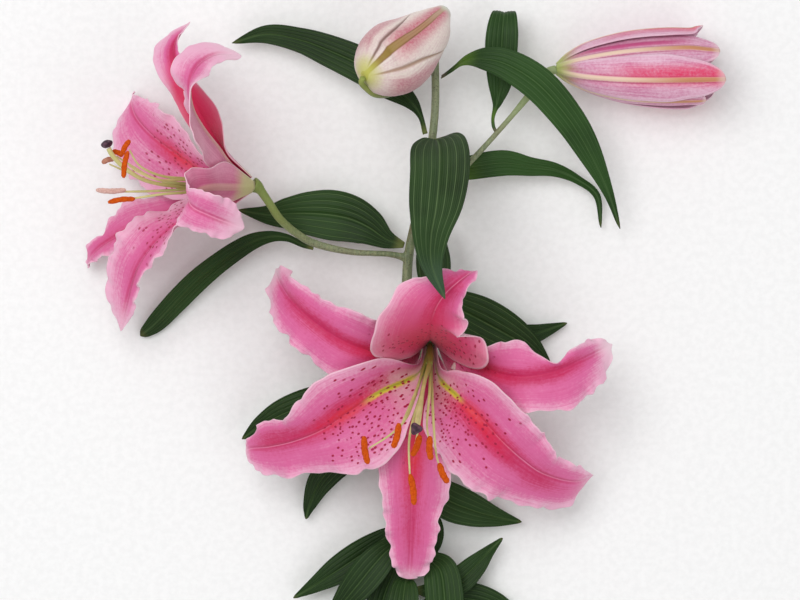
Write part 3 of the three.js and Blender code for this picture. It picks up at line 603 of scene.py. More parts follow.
def petal_inside(name, tone, glow=0.0, nectar=0.0, spots=0.0, reach=0.5, shade=0.0, shaded=0.56, full=0.2,
                 fade=2.4, white=0.0, rib=0.5, rib_width=12.0, lean=0.0, double=0.0, thick=0.0, bleached=0.3):
    """The inner face of a petal, by how deep its pink is at each place. Strengths are 0 to 1. rib_width
    and lean say how broad the deep band is and how far to one side of the rib, in millimetres; the band is
    the petal's own deeper pink, and where lean moves it aside it is painted shade where the blade curves up
    beside the rib. thick is the side, 1 or -1, with more of the spots; bleached is how pale the tip is.
    shaded and full are the places where the deep throat begins and is at its deepest, and fade how near the
    edges it dies away; the throat is the petal's own crimson, darkened with painted shade deep in the flower."""
    skin, side, v, across, onward, cloud, grain, streak, veins = flesh(name)
    # The deep band along the rib: the petal's own deeper pink, and painted shade where lean moves it to one
    # side, where the blade curves up beside the rib.
    band = abs(across - lean).rise(rib_width, 0.0) * v.rise(1.06, 0.72)
    depth = band * rib - (side + cloud * 0.4).rise(0.5, 1.08) * 0.42
    depth = depth - (v + cloud * 0.1).rise(0.68, 1.0) * bleached
    depth = depth + cloud * 0.4 + grain * 0.42 + streak * 0.34 + veins * 0.42 + tone
    skin.blend(depth.rise(-0.05, 0.5), PALE, PINK)
    skin.tint(depth.rise(0.45, 1.1), DEEP)
    lines = abs(abs(across) - 0.9).rise(0.9, 0.2) * v.rise(0.98, 0.8) * v.rise(0.1, 0.3)
    skin.tint(lines * 0.45, paint(190, 34, 90))
    if double:
        between = abs(across).rise(0.7, 0.15) * v.rise(0.36, 0.5) * v.rise(0.97, 0.85)
        skin.tint(between * double, paint(240, 150, 184))
    # The crimson throat: the petal's own crimson, darkened with painted shade deep in the flower and between
    # the feet of the tepals.
    throat = (v + side * 0.1 + cloud * 0.2 + grain * 0.1).rise(shaded, full)
    skin.tint(throat * side.rise(fade, 0.3) * shade, paint(214, 34, 84))
    if white:
        bare = (v + cloud * 0.2 + grain * 0.1).rise(0.3, 0.14) * side.rise(1.0, 0.3) * (streak * 0.8 + 0.8)
        skin.tint(bare * white, paint(240, 206, 206))
    if glow:
        body = v.hump(0.42, 0.22) * abs(across - lean * 0.5).rise(9.0, 0.0) * (0.75 + streak + grain)
        skin.tint(body * glow, paint(214, 26, 62))
        warm = v.hump(0.35, 0.12) * abs(across).rise(5.0, 0.5) * (0.9 + cloud * 2.0 + grain)
        skin.tint(warm * glow * 0.45, paint(238, 74, 50))
    if nectar:
        strip = abs(across + cloud * 1.5 + grain).rise(2.2, 0.9) * v.rise(0.325, 0.25) * v.rise(0.12, 0.17)
        skin.tint(strip * nectar, paint(216, 202, 62))
        heart = abs(across + grain).rise(1.2, 0.3) * v.rise(0.3, 0.24) * v.rise(0.05, 0.1)
        skin.tint(heart * nectar * 0.7, paint(160, 168, 62))
    height = veins * 0.6 + grain * 0.5
    if spots:
        cell = skin.vector(across * 0.42 + cloud * 0.6, onward * 0.34 + cloud * 0.6)
        distance = skin.node("ShaderNodeTexVoronoi", {"voronoi_dimensions": "2D"},
                             {"Vector": cell, "Scale": 1.0, "Randomness": 0.9}, "Distance")
        chance = skin.node("ShaderNodeSeparateColor", None, {0: distance.other("Color")})
        field = v.rise(0.07, 0.13) * v.rise(reach + 0.05, reach - 0.28) * side.rise(1.0, 0.7)
        field = field * ((across * thick + 2.0).rise(0.0, 3.0) * 0.7 + 0.3)
        dot = (distance / (chance * 0.1 + 0.15)).rise(1.25, 0.65) * (chance + field).rise(0.98, 1.06)
        skin.tint(dot * spots, paint(168, 14, 62))
        height = height + dot * 1.5
    skin.tint((v + cloud * 0.1).rise(0.84, 1.0) * bleached, paint(247, 220, 230))
    skin.tint(side.rise(0.955, 0.995) * 0.55, paint(248, 214, 224))
    return skin.finish(grain * 0.3 + 0.5, height, 0.0004, 0.5)


def petal_outside(name, pale, pink, rib_colour, rib=0.6, green=0.5, greened=0.34):
    """The outer face: paler and greyer, with a thick rib, and green up to the greened part of its length."""
    skin, side, v, across, _, cloud, grain, streak, veins = flesh(name)
    depth = abs(across).rise(9.0, 1.5) * 0.35 + cloud * 0.6 + grain * 0.3 + streak * 0.5 + veins * 0.6
    skin.blend((depth + 0.4).rise(0.0, 1.0), pale, pink)
    skin.tint(abs(across).rise(2.2, 0.99) * rib * v.rise(1.0, 0.7), rib_colour)
    skin.tint((v + cloud * 0.1).rise(greened, greened * 0.25) * green, paint(188, 190, 128))
    skin.tint(side.rise(0.955, 0.995) * 0.5, paint(250, 232, 234))
    return skin.finish(grain * 0.3 + 0.5, veins * 0.6 + grain * 0.5, 0.0004, 0.5)


def tepal(name, degrees, kind, rows, faces, centre, axis, first, edge, count, seed, depth, notches=(),
          folds=()):
    """One petal or sepal, that many degrees round the ring from the first."""
    angle = math.radians(degrees)
    across = np.cross(axis, first) * math.cos(angle) - first * math.sin(angle)
    root = centre + axis * FOOT_HEIGHT + np.cross(across, axis) * kind["ring"]
    blade(name + "_blade", [[*root, kind["foot"]], *rows], faces, "petal", node=name, columns=60, steps=120,
          thickness=PETAL_THICKNESS, thin_edge=0.5, crowd=1.1, across=across, cup=kind["cup"], puff=0.05,
          wave=1.6, waves=3, turn=(0.1, 0.6), narrower=outline(count, seed, depth, notches), flowing=True,
          relief=crimped(edge, count, seed, folds=folds, **kind["valley"]))


def bloom(tepals, outer_face, *stand):
    """The six tepals of one bloom, which stand on its centre and axis."""
    for name, degrees, kind, rows, edges, tints in tepals:
        inner_face = petal_inside(name + "_inner_face", **tints)
        tepal(name, degrees, kind, rows, [inner_face, outer_face], *stand, **edges)


# lean sets the petals' deep band 3 mm to one side of the rib, where it is painted shade where the blade
# curves up beside the rib.
WIDE_TINTS = dict(tone=0.45, glow=0.95, nectar=1.0, spots=1.0, reach=0.56, white=0.8, double=0.5, lean=-3.0)
BEHIND_TINTS = dict(tone=0.5, glow=0.4, spots=0.6, reach=0.45, shade=0.6, rib_width=9.0, bleached=0.8)
FRONT_TEPALS = [
    ("front_petal_top", 90, TOP, [
        [15, -19.3, 38, 9.5, 10.8], [15, -17, 57, 25, 28.5], [15.5, -12, 75, 30, 23],
        [18, -4, 87, 25, 15.5], [23, 3.5, 92, 15.5, 10.5], [29, 9, 93, 8.5, 6.5], [35, 13.5, 89, 4, 4.5],
        [37, 14.5, 85, 0.8]],
     dict(edge=1.0, count=5, seed=0.4, depth=0.03, notches=((-1, 0.385, 0.045, 0.42),),
          folds=((-1, 0.315, 0.035, -6.0), (-1, 0.4, 0.04, 4.0), (1, 0.55, 0.05, -2.0))),
     dict(tone=0.42, spots=0.9, shade=1.0, shaded=0.8, fade=1.7, reach=0.45, double=0.6)),
    ("front_petal_left", 210, INNER, [
        [9, -36.5, 34, 4, 2.9], [-10, -46, 50, 24, 18.5], [-27.5, -57.5, 55, 30, 24.5],
        [-39, -65, 55, 26, 21.5], [-52.5, -70.5, 49, 18.6, 13.4, 5], [-65, -73.4, 39, 16, 13.6, 18],
        [-74, -74.2, 30.5, 10.4, 6, 32], [-77, -75.4, 26.5, 6.5, 2, 40]],
     dict(edge=1.3, count=6, seed=1.3, depth=0.03, notches=((-1, 0.07, 0.06, -1.6),)),
     dict(WIDE_TINTS, thick=1.0)),
    ("front_petal_right", 330, INNER, [
        [19.5, -38, 34, 3, 4], [27.5, -47, 48, 13, 21], [38, -56.5, 55, 20.5, 28],
        [51, -70.5, 55, 19, 28.6], [61.5, -80, 49, 17, 26], [72, -87, 41, 12, 20],
        [87, -90.8, 29, 9.5, 16.5], [96.5, -87.5, 21, 0.8]],
     dict(edge=1.3, count=7, seed=2.2, depth=0.03, notches=((1, 0.07, 0.06, -1.6),)),
     dict(WIDE_TINTS, thick=-1.0)),
    ("front_sepal_bottom", 270, OUTER, [
        [14.5, -44.3, 34, 11.5], [10, -60, 40, 16], [7, -78, 42, 18, 18.5], [6.2, -95, 40, 19, 16],
        [5.9, -109, 36, 14], [5.4, -122, 31, 14, 12.5], [5, -133, 25, 10.5, 8.5],
        [4.5, -139.4, 20, 6.5, 5]],
     dict(edge=1.3, count=6, seed=3.1, depth=0.035,
          notches=((1, 0.97, 0.014, 0.5), (1, 0.76, 0.04, 0.12), (-1, 0.76, 0.04, 0.12))),
     dict(tone=0.45, glow=0.9, spots=0.5, rib=0.3, reach=0.4, shade=0.4)),
    ("front_sepal_right", 30, OUTER, [
        [21.3, -22.2, 29.5, 7, 13], [28.6, -23, 40, 11, 11.6, -5], [37, -30, 43.5, 12, 13, -15],
        [48, -36.5, 49.5, 17, 15, -25], [62, -38.5, 56.5, 18, 17, -25], [78.5, -35.5, 57, 7, 20, -15],
        [91, -30, 53, 8, 17, -5], [100, -25.5, 44, 7, 12.5], [106, -22.3, 37, 0.8]],
     dict(edge=1.4, count=7, seed=4.4, depth=0.035, notches=((1, 0.67, 0.045, 0.4),)),
     BEHIND_TINTS),
    ("front_sepal_left", 150, OUTER, [
        [8.6, -22.4, 31, 14, 7], [1.8, -23.2, 43, 13.5, 11.5], [-12, -26, 56, 15],
        [-27, -21.5, 63, 18, 19.5], [-42, -12, 64, 16, 14.5], [-54, -1, 57, 14.5, 10.5],
        [-61, 9.5, 43, 11.5, 8.5], [-62, 15.6, 32, 0.8]],
     dict(edge=1.4, count=7, seed=5.2, depth=0.035),
     BEHIND_TINTS),
]
back_of_petal = petal_outside("petal_outer_face", paint(238, 206, 214), paint(222, 150, 178),
                              paint(190, 150, 120))
bloom(FRONT_TEPALS, back_of_petal, FRONT_CENTRE, FRONT_AXIS, FRONT_FIRST)

# Side bloom. The same flower turned to the left and seen from its side, its tips rolled back, so
# that half of its tepals show their outer faces, which are paler and have a thick greenish rib.
SIDE_CENTRE = np.array([-73.5, 57.5, 44.0])
SIDE_AXIS = np.array([-0.94, 0.0, 0.34])
SIDE_FIRST = np.array([0.0, 1.0, 0.0])
SIDE_TEPALS = [
    ("side_petal_upper", 315, INNER, [
        [-84, 67.5, 57.5, 10.5, 9.5], [-91, 76.5, 67, 14, 12.6], [-98, 85.5, 77, 15, 18.4],
        [-103, 94, 85, 14, 21], [-105, 102, 90, 12, 13], [-104.5, 111, 90, 11.5, 10],
        [-100, 118.5, 85, 12, 7], [-91, 123, 78, 9.5, 5.5], [-79.5, 122, 70, 2.6]],
     dict(edge=0.5, count=6, seed=0.9, depth=0.012),
     dict(tone=0.2, rib=0.3, rib_width=7.0, shade=0.3, bleached=0.5)),
    ("side_petal_far", 70, INNER, [
        [-88, 61, 39, 9], [-100, 65, 36, 16, 12, -12], [-112, 73, 30, 24, 18, -6],
        [-123.5, 82, 23.4, 26, 17, 5], [-131, 90, 15.7, 21, 12.5, 22], [-134, 97, 8.75, 12, 8, 24],
        [-133.2, 103.6, 4.75, 4.4, 3.4]],
     dict(edge=1.2, count=6, seed=1.9, depth=0.035),
     dict(tone=0.3, glow=1.0, nectar=1.0, spots=0.8, rib=0.3, rib_width=9.0, reach=0.62, double=0.3)),
    ("side_petal_lower", 190, INNER, [
        [-88, 49, 49.5, 9.5], [-100, 44.5, 53, 15, 15, -10], [-112, 37.5, 54, 16, 19, -20],
        [-122.5, 28.5, 53, 10, 20, -35], [-130, 18.5, 49, 6, 19, -40], [-134, 8.5, 43, 5, 17, -40],
        [-137, -3, 36, 5, 12, -40], [-139.5, -15.5, 28, 0.8, 0.8, -40]],
     dict(edge=1.2, count=7, seed=2.7, depth=0.035),
     dict(tone=0.3, spots=0.8, rib=0.35, rib_width=9.0, reach=0.6, bleached=0.3)),
    ("side_sepal_back", 10, OUTER, [
        [-86, 72.5, 46, 10.5, 11.5, 0], [-93, 81.5, 48, 8.5, 13, 20], [-99.5, 92, 50, 7.5, 10.5, 40],
        [-106, 104, 51, 8.5, 8, 45], [-112, 115, 50, 9.8, 6, 40], [-114, 125, 47, 11.5, 3, 30],
        [-110.5, 133.5, 43, 12, 2, 20], [-105, 139, 39, 0.8, 0.8, 10]],
     dict(edge=0.4, count=6, seed=3.6, depth=0.01),
     dict(tone=0.22, rib=0.95, rib_width=6.0, shade=0.95, shaded=0.76, full=0.56)),
    ("side_sepal_lower", 130, OUTER, [
        [-90, 48.5, 32, 11.5, 10.5], [-101, 46, 25.5, 12, 11], [-113, 43, 21.5, 12], [-126, 39, 20, 12, 14],
        [-138, 34, 19, 12, 14.5], [-148, 28.5, 16, 9, 7], [-154.5, 22.5, 12, 5, 6], [-156, 16, 9, 0.8]],
     dict(edge=1.2, count=7, seed=4.1, depth=0.035),
     dict(tone=0.42, rib=0.3, rib_width=8.0, shade=0.3, bleached=0.2)),
    ("side_sepal_front", 250, OUTER, [
        [-85.5, 56.5, 67, 11.5], [-95, 56.5, 83, 9, 13], [-101.5, 54.5, 90, 11, 12.5],
        [-106, 50, 96, 9, 12], [-103.5, 46, 99.5, 11, 11.5], [-95, 42, 98, 11.5, 9.5],
        [-86, 38.5, 92, 10, 8.5], [-78, 36, 85, 2]],
     dict(edge=0.9, count=6, seed=5.8, depth=0.03),
     dict(tone=0.32, rib=0.1, double=0.5, bleached=0.5)),
]
outer_tube = petal_outside("side_bloom_outer_face", paint(228, 152, 180), paint(190, 84, 124),
                           paint(206, 172, 146), rib=0.5, green=0.85, greened=0.11)
bloom(SIDE_TEPALS, outer_tube, SIDE_CENTRE, SIDE_AXIS, SIDE_FIRST)

# Ovary, style and filaments. A fluted green ovary in each throat runs on into a pale, slightly
# glossy style; six tapering filaments stand round it. They grow together at the foot.
SEAT = 0.3               # how deep one piece is let into the next
OVARY_HEIGHTS = (SEAT, 8.0, 18.0, 27.0)      # above the bloom's centre, along its axis
STYLE_START, FILAMENT_START = 25.0, 5.0
OVARY_RADII, STYLE_RADII = [1.2, 1.9, 1.9, 1.4], [1.4, 1.0, 0.95, 1.2, 1.3]
FILAMENT_RADII = [1.4, 0.8, 0.72, 0.45]
STYLE_OVERRUN = 0.1      # the part of its last stretch by which a style runs on into its stigma
THROAT_VOXEL = 0.34
FRONT_ANTHER_RADIUS, SIDE_ANTHER_RADIUS = 1.65, 1.35
FRONT_STAMENS = [
    [[-18, -68, 88], [-16, -82, 88],
     [[6.5, -51, 60], [1.3, -61.5, 72], [-6.5, -68.5, 81], [-14.5, -73.5, 85.5]]],
    [[-0.5, -61.5, 97], [-3.5, -74, 97], [[9, -43, 60], [0.5, -63, 88]]],
    [[15, -68, 97], [15.5, -80, 97], [[15, -43, 60], [13.5, -61.5, 84], [14.5, -69.5, 92]]],
    [[10, -67.5, 84], [6, -78, 84], [[12, -43, 56], [10, -60, 75]]],
    [[19.5, -81.5, 90], [24, -91.5, 90], [[16, -45, 58], [17, -65, 76], [18.5, -79, 85]]],
    [[5, -87, 84], [7, -102.5, 84], [[11, -45, 56], [6.5, -60, 69], [4.5, -72, 76], [5, -88, 80.5]]],
]
FRONT_STYLE = [[12.5, -40, 60], [10.5, -50, 78], [8.8, -59, 94], [8, -64, 102.5]]
FRONT_STIGMA = [[8, -64.2, 103.5], [8, -64.6, 107]]
SIDE_STAMENS = [
    [[-135, 80, 78], [-139, 72.5, 78], [[-105, 60.5, 61], [-119, 62, 69], [-130, 67, 74.5]]],
    [[-144, 74.3, 63], [-138.5, 72, 63], [[-105, 58, 58], [-122, 60.5, 60], [-134, 67, 61]]],
    [[-136, 74.5, 85], [-138.2, 61, 85], [[-105, 60, 63], [-120, 60, 73], [-131, 64, 80]]],
    [[-149, 68.5, 57], [-143, 70.5, 57], [[-105, 57, 55], [-120, 58, 54], [-134, 63, 54.5]]],
    [[-152, 55, 60], [-137, 55, 60], [[-105, 55.5, 55.5], [-122, 54.5, 56.5], [-138, 54.2, 56.3]]],
    [[-146, 48.8, 66], [-132.5, 50.5, 66], [[-105, 54, 58], [-118, 53, 62], [-132, 51, 63]]],
]
SIDE_STYLE = [[-112, 57, 58], [-126.5, 59.5, 64], [-137, 65.5, 68], [-143.5, 72, 70], [-145.6, 75.6, 70.6]]
SIDE_STIGMA = [[-146, 76.3, 70.8], [-147.2, 79.8, 71.4]]


def filament_skin(name, centre):
    skin = Skin(name, Specular_IOR_Level=0.5, Coat_Weight=0.2, Coat_Roughness=0.25)
    away = skin.away_from(centre)
    tone = skin.noise(120.0)
    streak = skin.noise(700.0, 2.0)
    skin.blend(away.rise(0.02, 0.06), paint(122, 146, 60), paint(212, 206, 136))
    skin.tint(away.rise(0.05, 0.11) * 0.7, paint(222, 214, 158))
    skin.tint(tone.rise(0.35, 0.65) * 0.4, paint(162, 156, 78))
    return skin.finish(0.34 + streak * 0.12, streak, 0.0002, 0.3)


def filament_end(start, stop, route, radius):
    """Where a filament ends: at the back of its anther, just inside it."""
    first, last, nearby = placed([start, stop, route[-1]])
    middle = placed([[(a + b) / 2 for a, b in zip(start, stop)]])[0]
    bar = (last - first) / np.linalg.norm(last - first)
    back = middle - nearby
    back = back - bar * (back @ bar)
    tip = middle - back / np.linalg.norm(back) * (radius + SEAT)
    drawn = (EYE_HEIGHT - DRAWN_HEIGHT) / (EYE_HEIGHT - tip[2])
    return [tip[0] * drawn, tip[1] * drawn, tip[2]]


def fluted(turn, v):
    return 1 + 0.07 * np.cos(6 * turn) * np.sin(math.pi * np.clip(v, 0, 1)) ** 0.5


def throat(name, centre, axis, hint, stamens, style, radius):
    bm = bmesh.new()
    rod(bm, [centre + axis * height for height in OVARY_HEIGHTS], OVARY_RADII, sides=30, steps=50, hint=hint,
        section=fluted)
    head = [last + (last - before) * STYLE_OVERRUN for before, last in zip(style[-2], style[-1])]
    rod(bm, [centre + axis * STYLE_START, *style, head], STYLE_RADII, sides=16, steps=90, hint=hint)
    for start, stop, route in stamens:
        path = [centre + axis * FILAMENT_START, *route, filament_end(start, stop, route, radius)]
        rod(bm, path, FILAMENT_RADII, sides=14, steps=90, hint=hint)
    made = piece(name + "_grown", bm, [filament_skin(name + "_skin", centre)], name)
    modifier(made, "REMESH", mode="VOXEL", voxel_size=THROAT_VOXEL * MM, use_smooth_shade=True)
    modifier(made, "SMOOTH", factor=0.4, iterations=1)


throat("front_ovary_and_filaments", FRONT_CENTRE, FRONT_AXIS, FRONT_FIRST, FRONT_STAMENS, FRONT_STYLE,
       FRONT_ANTHER_RADIUS)
throat("side_ovary_and_filaments", SIDE_CENTRE, SIDE_AXIS, UP, SIDE_STAMENS, SIDE_STYLE, SIDE_ANTHER_RADIUS)

# Anthers. Each is a two-lobed bag 12 to 16 mm long, split along its length and thick with dry
# rust-orange pollen. It hangs from the tip of its filament at the middle of its back.
ANTHER_SWELL = [0.4, 0.84, 0.93, 0.97, 0.99, 1, 1, 1, 0.99, 0.97, 0.93, 0.84, 0.4]
ANTHER_BOW = 0.6         # how far the middle of an anther is bent aside


def anther_skin(name, dark, light):
    skin = Skin(name, Specular_IOR_Level=0.2)
    clumps = skin.noise(900.0, 4.0, 0.7)
    grains = skin.noise(3800.0, 2.0, 0.6)
    skin.blend(clumps.rise(0.25, 0.75), dark, light)
    skin.tint(grains.rise(0.5, 0.75) * 0.35, dark)
    return skin.finish(0.85 + grains * 0.1, clumps * 0.4 + grains * 0.6, 0.0004, 0.8)


def lobed(turn, v):
    groove = 1 - 0.24 * np.exp(-(np.sin(turn) / 0.22) ** 2) * np.sin(math.pi * v) ** 0.4
    return groove * (1 + 0.05 * np.sin(19 * v + 2 * turn) + 0.03 * np.sin(41 * v - turn))


pollen = anther_skin("pollen", paint(186, 66, 8), paint(222, 98, 16))
dull_pollen = anther_skin("dull_pollen", paint(166, 104, 84), paint(206, 150, 128))
bare_pollen = anther_skin("bare_pollen", paint(206, 160, 150), paint(236, 200, 190))
for flower, stamens, radius in (("front", FRONT_STAMENS, FRONT_ANTHER_RADIUS),
                                ("side", SIDE_STAMENS, SIDE_ANTHER_RADIUS)):
    for i, (start, stop, _) in enumerate(stamens):
        bow = (ANTHER_BOW if i % 2 else -ANTHER_BOW) / math.dist(start, stop)
        x, y, z = ((a + b) / 2 for a, b in zip(start, stop))
        middle = [x - bow * (stop[1] - start[1]), y + bow * (stop[0] - start[0]), z]
        bm = bmesh.new()
        rod(bm, [start, middle, stop], [radius * part for part in ANTHER_SWELL], sides=28, steps=70,
            section=lobed)
        coat = {("side", 3): dull_pollen, ("side", 4): bare_pollen}.get((flower, i), pollen)
        piece(f"{flower}_anther_{i + 1}_bag", bm, [coat], f"{flower}_anther_{i + 1}")

# Stigmas. The three-lobed head of each style, dark purple and sticky, about 5.7 mm across. It grows
# on the end of the style.
STIGMA_RADII = [1.5, 2.3, 2.7, 2.85, 2.7, 2.0, 0.9]


def stigma_skin():
    skin = Skin("stigma_skin", Coat_Weight=0.15, Coat_Roughness=0.4, Specular_IOR_Level=0.3)
    tone = skin.noise(420.0)
    warts = skin.noise(2600.0, 2.0)
    skin.blend(tone.rise(0.35, 0.65), paint(52, 26, 42), paint(98, 60, 78))
    return skin.finish(0.5 + warts * 0.2, warts, 0.0005, 0.8)


def three_lobes(turn, v):
    deep = np.sin(math.pi * np.clip(v, 0, 1)) ** 0.3
    return 1 + 0.16 * np.cos(3 * turn) * deep


sticky = stigma_skin()
for flower, points, hint in (("front", FRONT_STIGMA, FRONT_FIRST), ("side", SIDE_STIGMA, UP)):
    bm = bmesh.new()
    rod(bm, points, STIGMA_RADII, sides=36, steps=24, hint=hint, section=three_lobes)
    piece(flower + "_stigma_head", bm, [sticky], flower + "_stigma")

# Top bud. Six tepals still pressed together into one closed, pointed body about 38 mm thick. Each
# of the three outer ones has a broad olive rib, and grooved seams run between them, darkened with painted
# shade.
TOP_BUD_PATH = [[-17.8, 112, 57], [-9, 117.2, 50], [3.5, 125.4, 46], [14, 134.8, 44.5],
                [19.5, 141.3, 43.5], [23.5, 146.2, 42.5]]
TOP_BUD_RADII = [2.4, 8.4, 12.4, 15, 17, 18.2, 19, 19.4, 19.4, 18.9, 18.2, 17.1, 15.8, 14.6, 13.4, 12.1,
                 10.6, 8.8, 6.6, 4.4, 3.0]
RIB_TURN = 12.0          # degrees from straight up to the rib that faces the viewer
UPPER_SEAM = (22.0, 190.0)       # degrees from the rib: where it starts, and what is added by the tip
LOWER_SEAM = (36.0, 310.0)
BUD_MM = 0.33            # millimetres along the surface for a degree round the widest place


def bud_section(turn, v):
    local = (np.degrees(turn) - RIB_TURN + 180) % 360 - 180
    side = np.abs(local)
    start, opens = (np.where(local > 0, *pair) for pair in zip(UPPER_SEAM, LOWER_SEAM))
    seam = start + opens * v ** 5
    body = np.sin(math.pi * np.clip(v, 0, 1)) ** 0.5
    rib = 0.016 * np.exp(-(local / 4) ** 2) - 0.02 * np.exp(-((side - 6.5) / 2) ** 2)
    groove = -0.06 * np.exp(-((side - seam) / 3.4) ** 2)
    under = -0.035 / (1 + np.exp(-(side - seam) / 1.5))
    cap = np.sqrt(1 - np.clip((v - 0.96) / 0.04, 0, 1) ** 2 * 0.98)
    return (1 + body * (rib + groove + under + 0.015 * np.cos(np.radians(side * 3)))) * cap


def top_bud_skin():
    skin = Skin("top_bud_skin", Specular_IOR_Level=0.3, Sheen_Weight=0.25, Sheen_Roughness=0.4)
    u, v = skin.uv("UVMap")
    cloud = skin.noise(70.0) - 0.5
    down = skin.noise(900.0, 3.0, 0.65) - 0.5
    turn = (u - 0.5) * 360.0
    local = (turn - RIB_TURN + 180.0).wrapped(0.0, 360.0) - 180.0
    side = abs(local)
    upper = local.rise(-1.0, 1.0)
    start, opens = (upper * (above - below) + below for above, below in zip(UPPER_SEAM, LOWER_SEAM))
    seam = start + opens * v ** 5
    girth = v.maths("SINE", v * math.pi) ** 0.5
    across = side * girth * BUD_MM
    streak = skin.noise(1.0, 4.0, 0.6, skin.vector(turn * 0.3, v * 1.5)) - 0.5
    skin.blend((streak + down).rise(-0.3, 0.5), paint(234, 222, 212), paint(216, 186, 188))
    flank = (across + streak * 4.0).rise(12.0, 2.0) * (v + cloud * 0.3).rise(0.1, 0.45) * (down + 0.95)
    skin.tint(flank * 0.85, paint(192, 90, 112))
    beyond = (side - seam + cloud * 12.0 + streak * 20.0).rise(7.0, 30.0) * v.rise(0.04, 0.2) * (down + 0.85)
    skin.tint(beyond * 0.8, paint(188, 106, 124))
    rim = abs(across + down * 0.4 + streak * 0.3) + v.rise(0.25, 0.0) * 0.9
    skin.tint(rim.rise(2.5, 1.5) * 0.9, paint(172, 134, 96))
    skin.tint(rim.hump(1.7, 0.6) * v.rise(1.0, 0.8) * 0.8, paint(126, 84, 52))
    skin.tint(rim.hump(0.0, 0.4) * v.rise(0.9, 0.7) * 0.4, paint(140, 100, 62))
    skin.tint(rim.rise(2.3, 1.2) * v.rise(0.6, 0.15) * 0.85, paint(146, 122, 44))
    skin.tint(rim.rise(2.3, 1.2) * v.rise(0.7, 0.95) * 0.5, paint(196, 176, 158))
    # Painted shade in the grooved seams between the tepals: darker brown on the upper side, lighter brown
    # below.
    crease_shade = abs(side - seam + streak * 2.0).rise(6.0, 1.0) * v.rise(0.0, 0.06)
    skin.tint(crease_shade * upper * 0.85, paint(116, 76, 68))
    skin.tint(crease_shade * (1 - upper) * 0.75, paint(158, 118, 88))
    base = (v + cloud * 0.04 + streak * 0.05).rise(0.09, 0.0)
    skin.tint(base * 0.85, paint(200, 202, 96))
    skin.tint(v.rise(0.92, 0.985) * 0.85, paint(208, 214, 198))
    return skin.finish(0.5 + streak * 0.14, streak * 0.5 + down * 0.6, 0.0004, 0.6)


bm = bmesh.new()
rod(bm, TOP_BUD_PATH, TOP_BUD_RADII, sides=150, steps=110, section=bud_section)
piece("top_bud_closed", bm, [top_bud_skin()], "top_bud")

# Right bud. A bud that has begun to open: three outer sepals and three inner petals still wrap
# one another round a hollow middle, and only their tips have parted. Each has a pale, raised rib.
BUD_AXIS_Y, BUD_AXIS_Z = 115.5, 19.6
RIGHT_BUD_ROUND = [(78.2, 2.6), (84, 7.0), (92, 11.4), (102, 14.8), (113, 17.3), (124, 18.6), (135, 19.1),
                   (145, 19.0)]     # its places along x and its radii, up to where the tips part
RIGHT_BUD_TAPER = {7: 0.86, 8: 0.688}        # how a tepal narrows where the tips part, by station
RIGHT_BUD_TIP = 3.6      # half the width of a tepal's blunt tip
RIGHT_BUD_CUP = [0.42, 0.4, 0.36, 0.34, 0.3, 0.1]
RIGHT_BUD_THICKNESS = 0.9
# Each tepal: its length in x, the turn of its foot and tip, the radius at its tip, how far it stands
# proud, and half its width, in degrees round the bud.
RIGHT_BUD_TEPALS = [
    ("right_bud_sepal_front", 163, -18, -15, 19, 0.7, 38),
    ("right_bud_sepal_upper", 151.5, 98, 88, 21, 0.7, 40),
    ("right_bud_sepal_under", 157, 222, 230, 14, 0.7, 40),
    ("right_bud_petal_upper", 160, 27, 37, 16, -0.9, 40),
    ("right_bud_petal_lower", 153, -68, -60, 19, -0.9, 34),
    ("right_bud_petal_under", 158, 160, 150, 15, -0.9, 36),
]


def bud_petal_skin(name, flank_at):
    """flank_at is how far from the rib the deep pink flank lies; 0 gives a pale petal with a crimson painted
    shadow.
    """
    skin, side, v, across, _, cloud, grain, streak, veins = flesh(
        name, sheen=0.2, broad=60.0, fine=800.0, streaks=(9.0, 1.4), threads=(40.0, 4.0))
    depth = streak + veins * 0.9 + grain * 0.8 + cloud * 0.8 + 0.5
    skin.blend(depth.rise(0.1, 0.9), paint(232, 192, 212), paint(206, 124, 162))
    if flank_at:
        flank = abs(across - flank_at + streak * 3.0).rise(8.0, 1.0) * (v + cloud * 0.3).rise(0.16, 0.72)
        skin.tint(flank * (grain + 0.9), paint(224, 60, 104))
    else:
        # Painted shade: a crimson line 4 mm to one side of the rib, the shadow of the edge of the tepal that
        # lies over it.
        crease_shade = abs(across + 4.0 + streak).rise(2.2, 0.4) * v.rise(0.12, 0.3) * v.rise(0.85, 0.6)
        skin.tint(crease_shade * 0.8, paint(188, 40, 112))
    warm = (v + cloud * 0.2).rise(0.3, 0.08) * abs(abs(across) - 2.6 + cloud * 3.0).rise(2.2, 0.2)
    skin.tint(warm * 0.6, paint(176, 92, 84))
    skin.tint((side + cloud * 0.2).rise(0.78, 1.0) * 0.5, paint(240, 212, 226))
    rib = abs(across + grain * 0.3)
    skin.tint(rib.hump(1.5, 0.7) * v.rise(0.1, 0.3) * 0.5, paint(178, 62, 92))
    skin.tint(rib.rise(1.3, 0.6) * 0.9, paint(236, 208, 182))
    skin.tint(rib.rise(1.3, 0.6) * v.rise(0.4, 0.8) * 0.85, paint(192, 122, 74))
    skin.tint((v + cloud * 0.1 + streak * 0.1).rise(0.2, 0.03) * 0.85, paint(166, 188, 92))
    skin.tint((v + cloud * 0.1).rise(0.93, 1.0) * 0.5, paint(244, 222, 222))
    return skin.finish(0.5 + streak * 0.14, veins * 0.6 + grain * 0.5, 0.0004, 0.5)


def bud_rib(s, v, reach):
    body = np.clip(v / 0.1, 0, 1) * np.clip((1 - v) / 0.15, 0, 1)
    return (0.35 * np.exp(-((np.abs(reach) - 2.4) / 0.9) ** 2) - 0.6 * np.exp(-reach ** 2)) * body


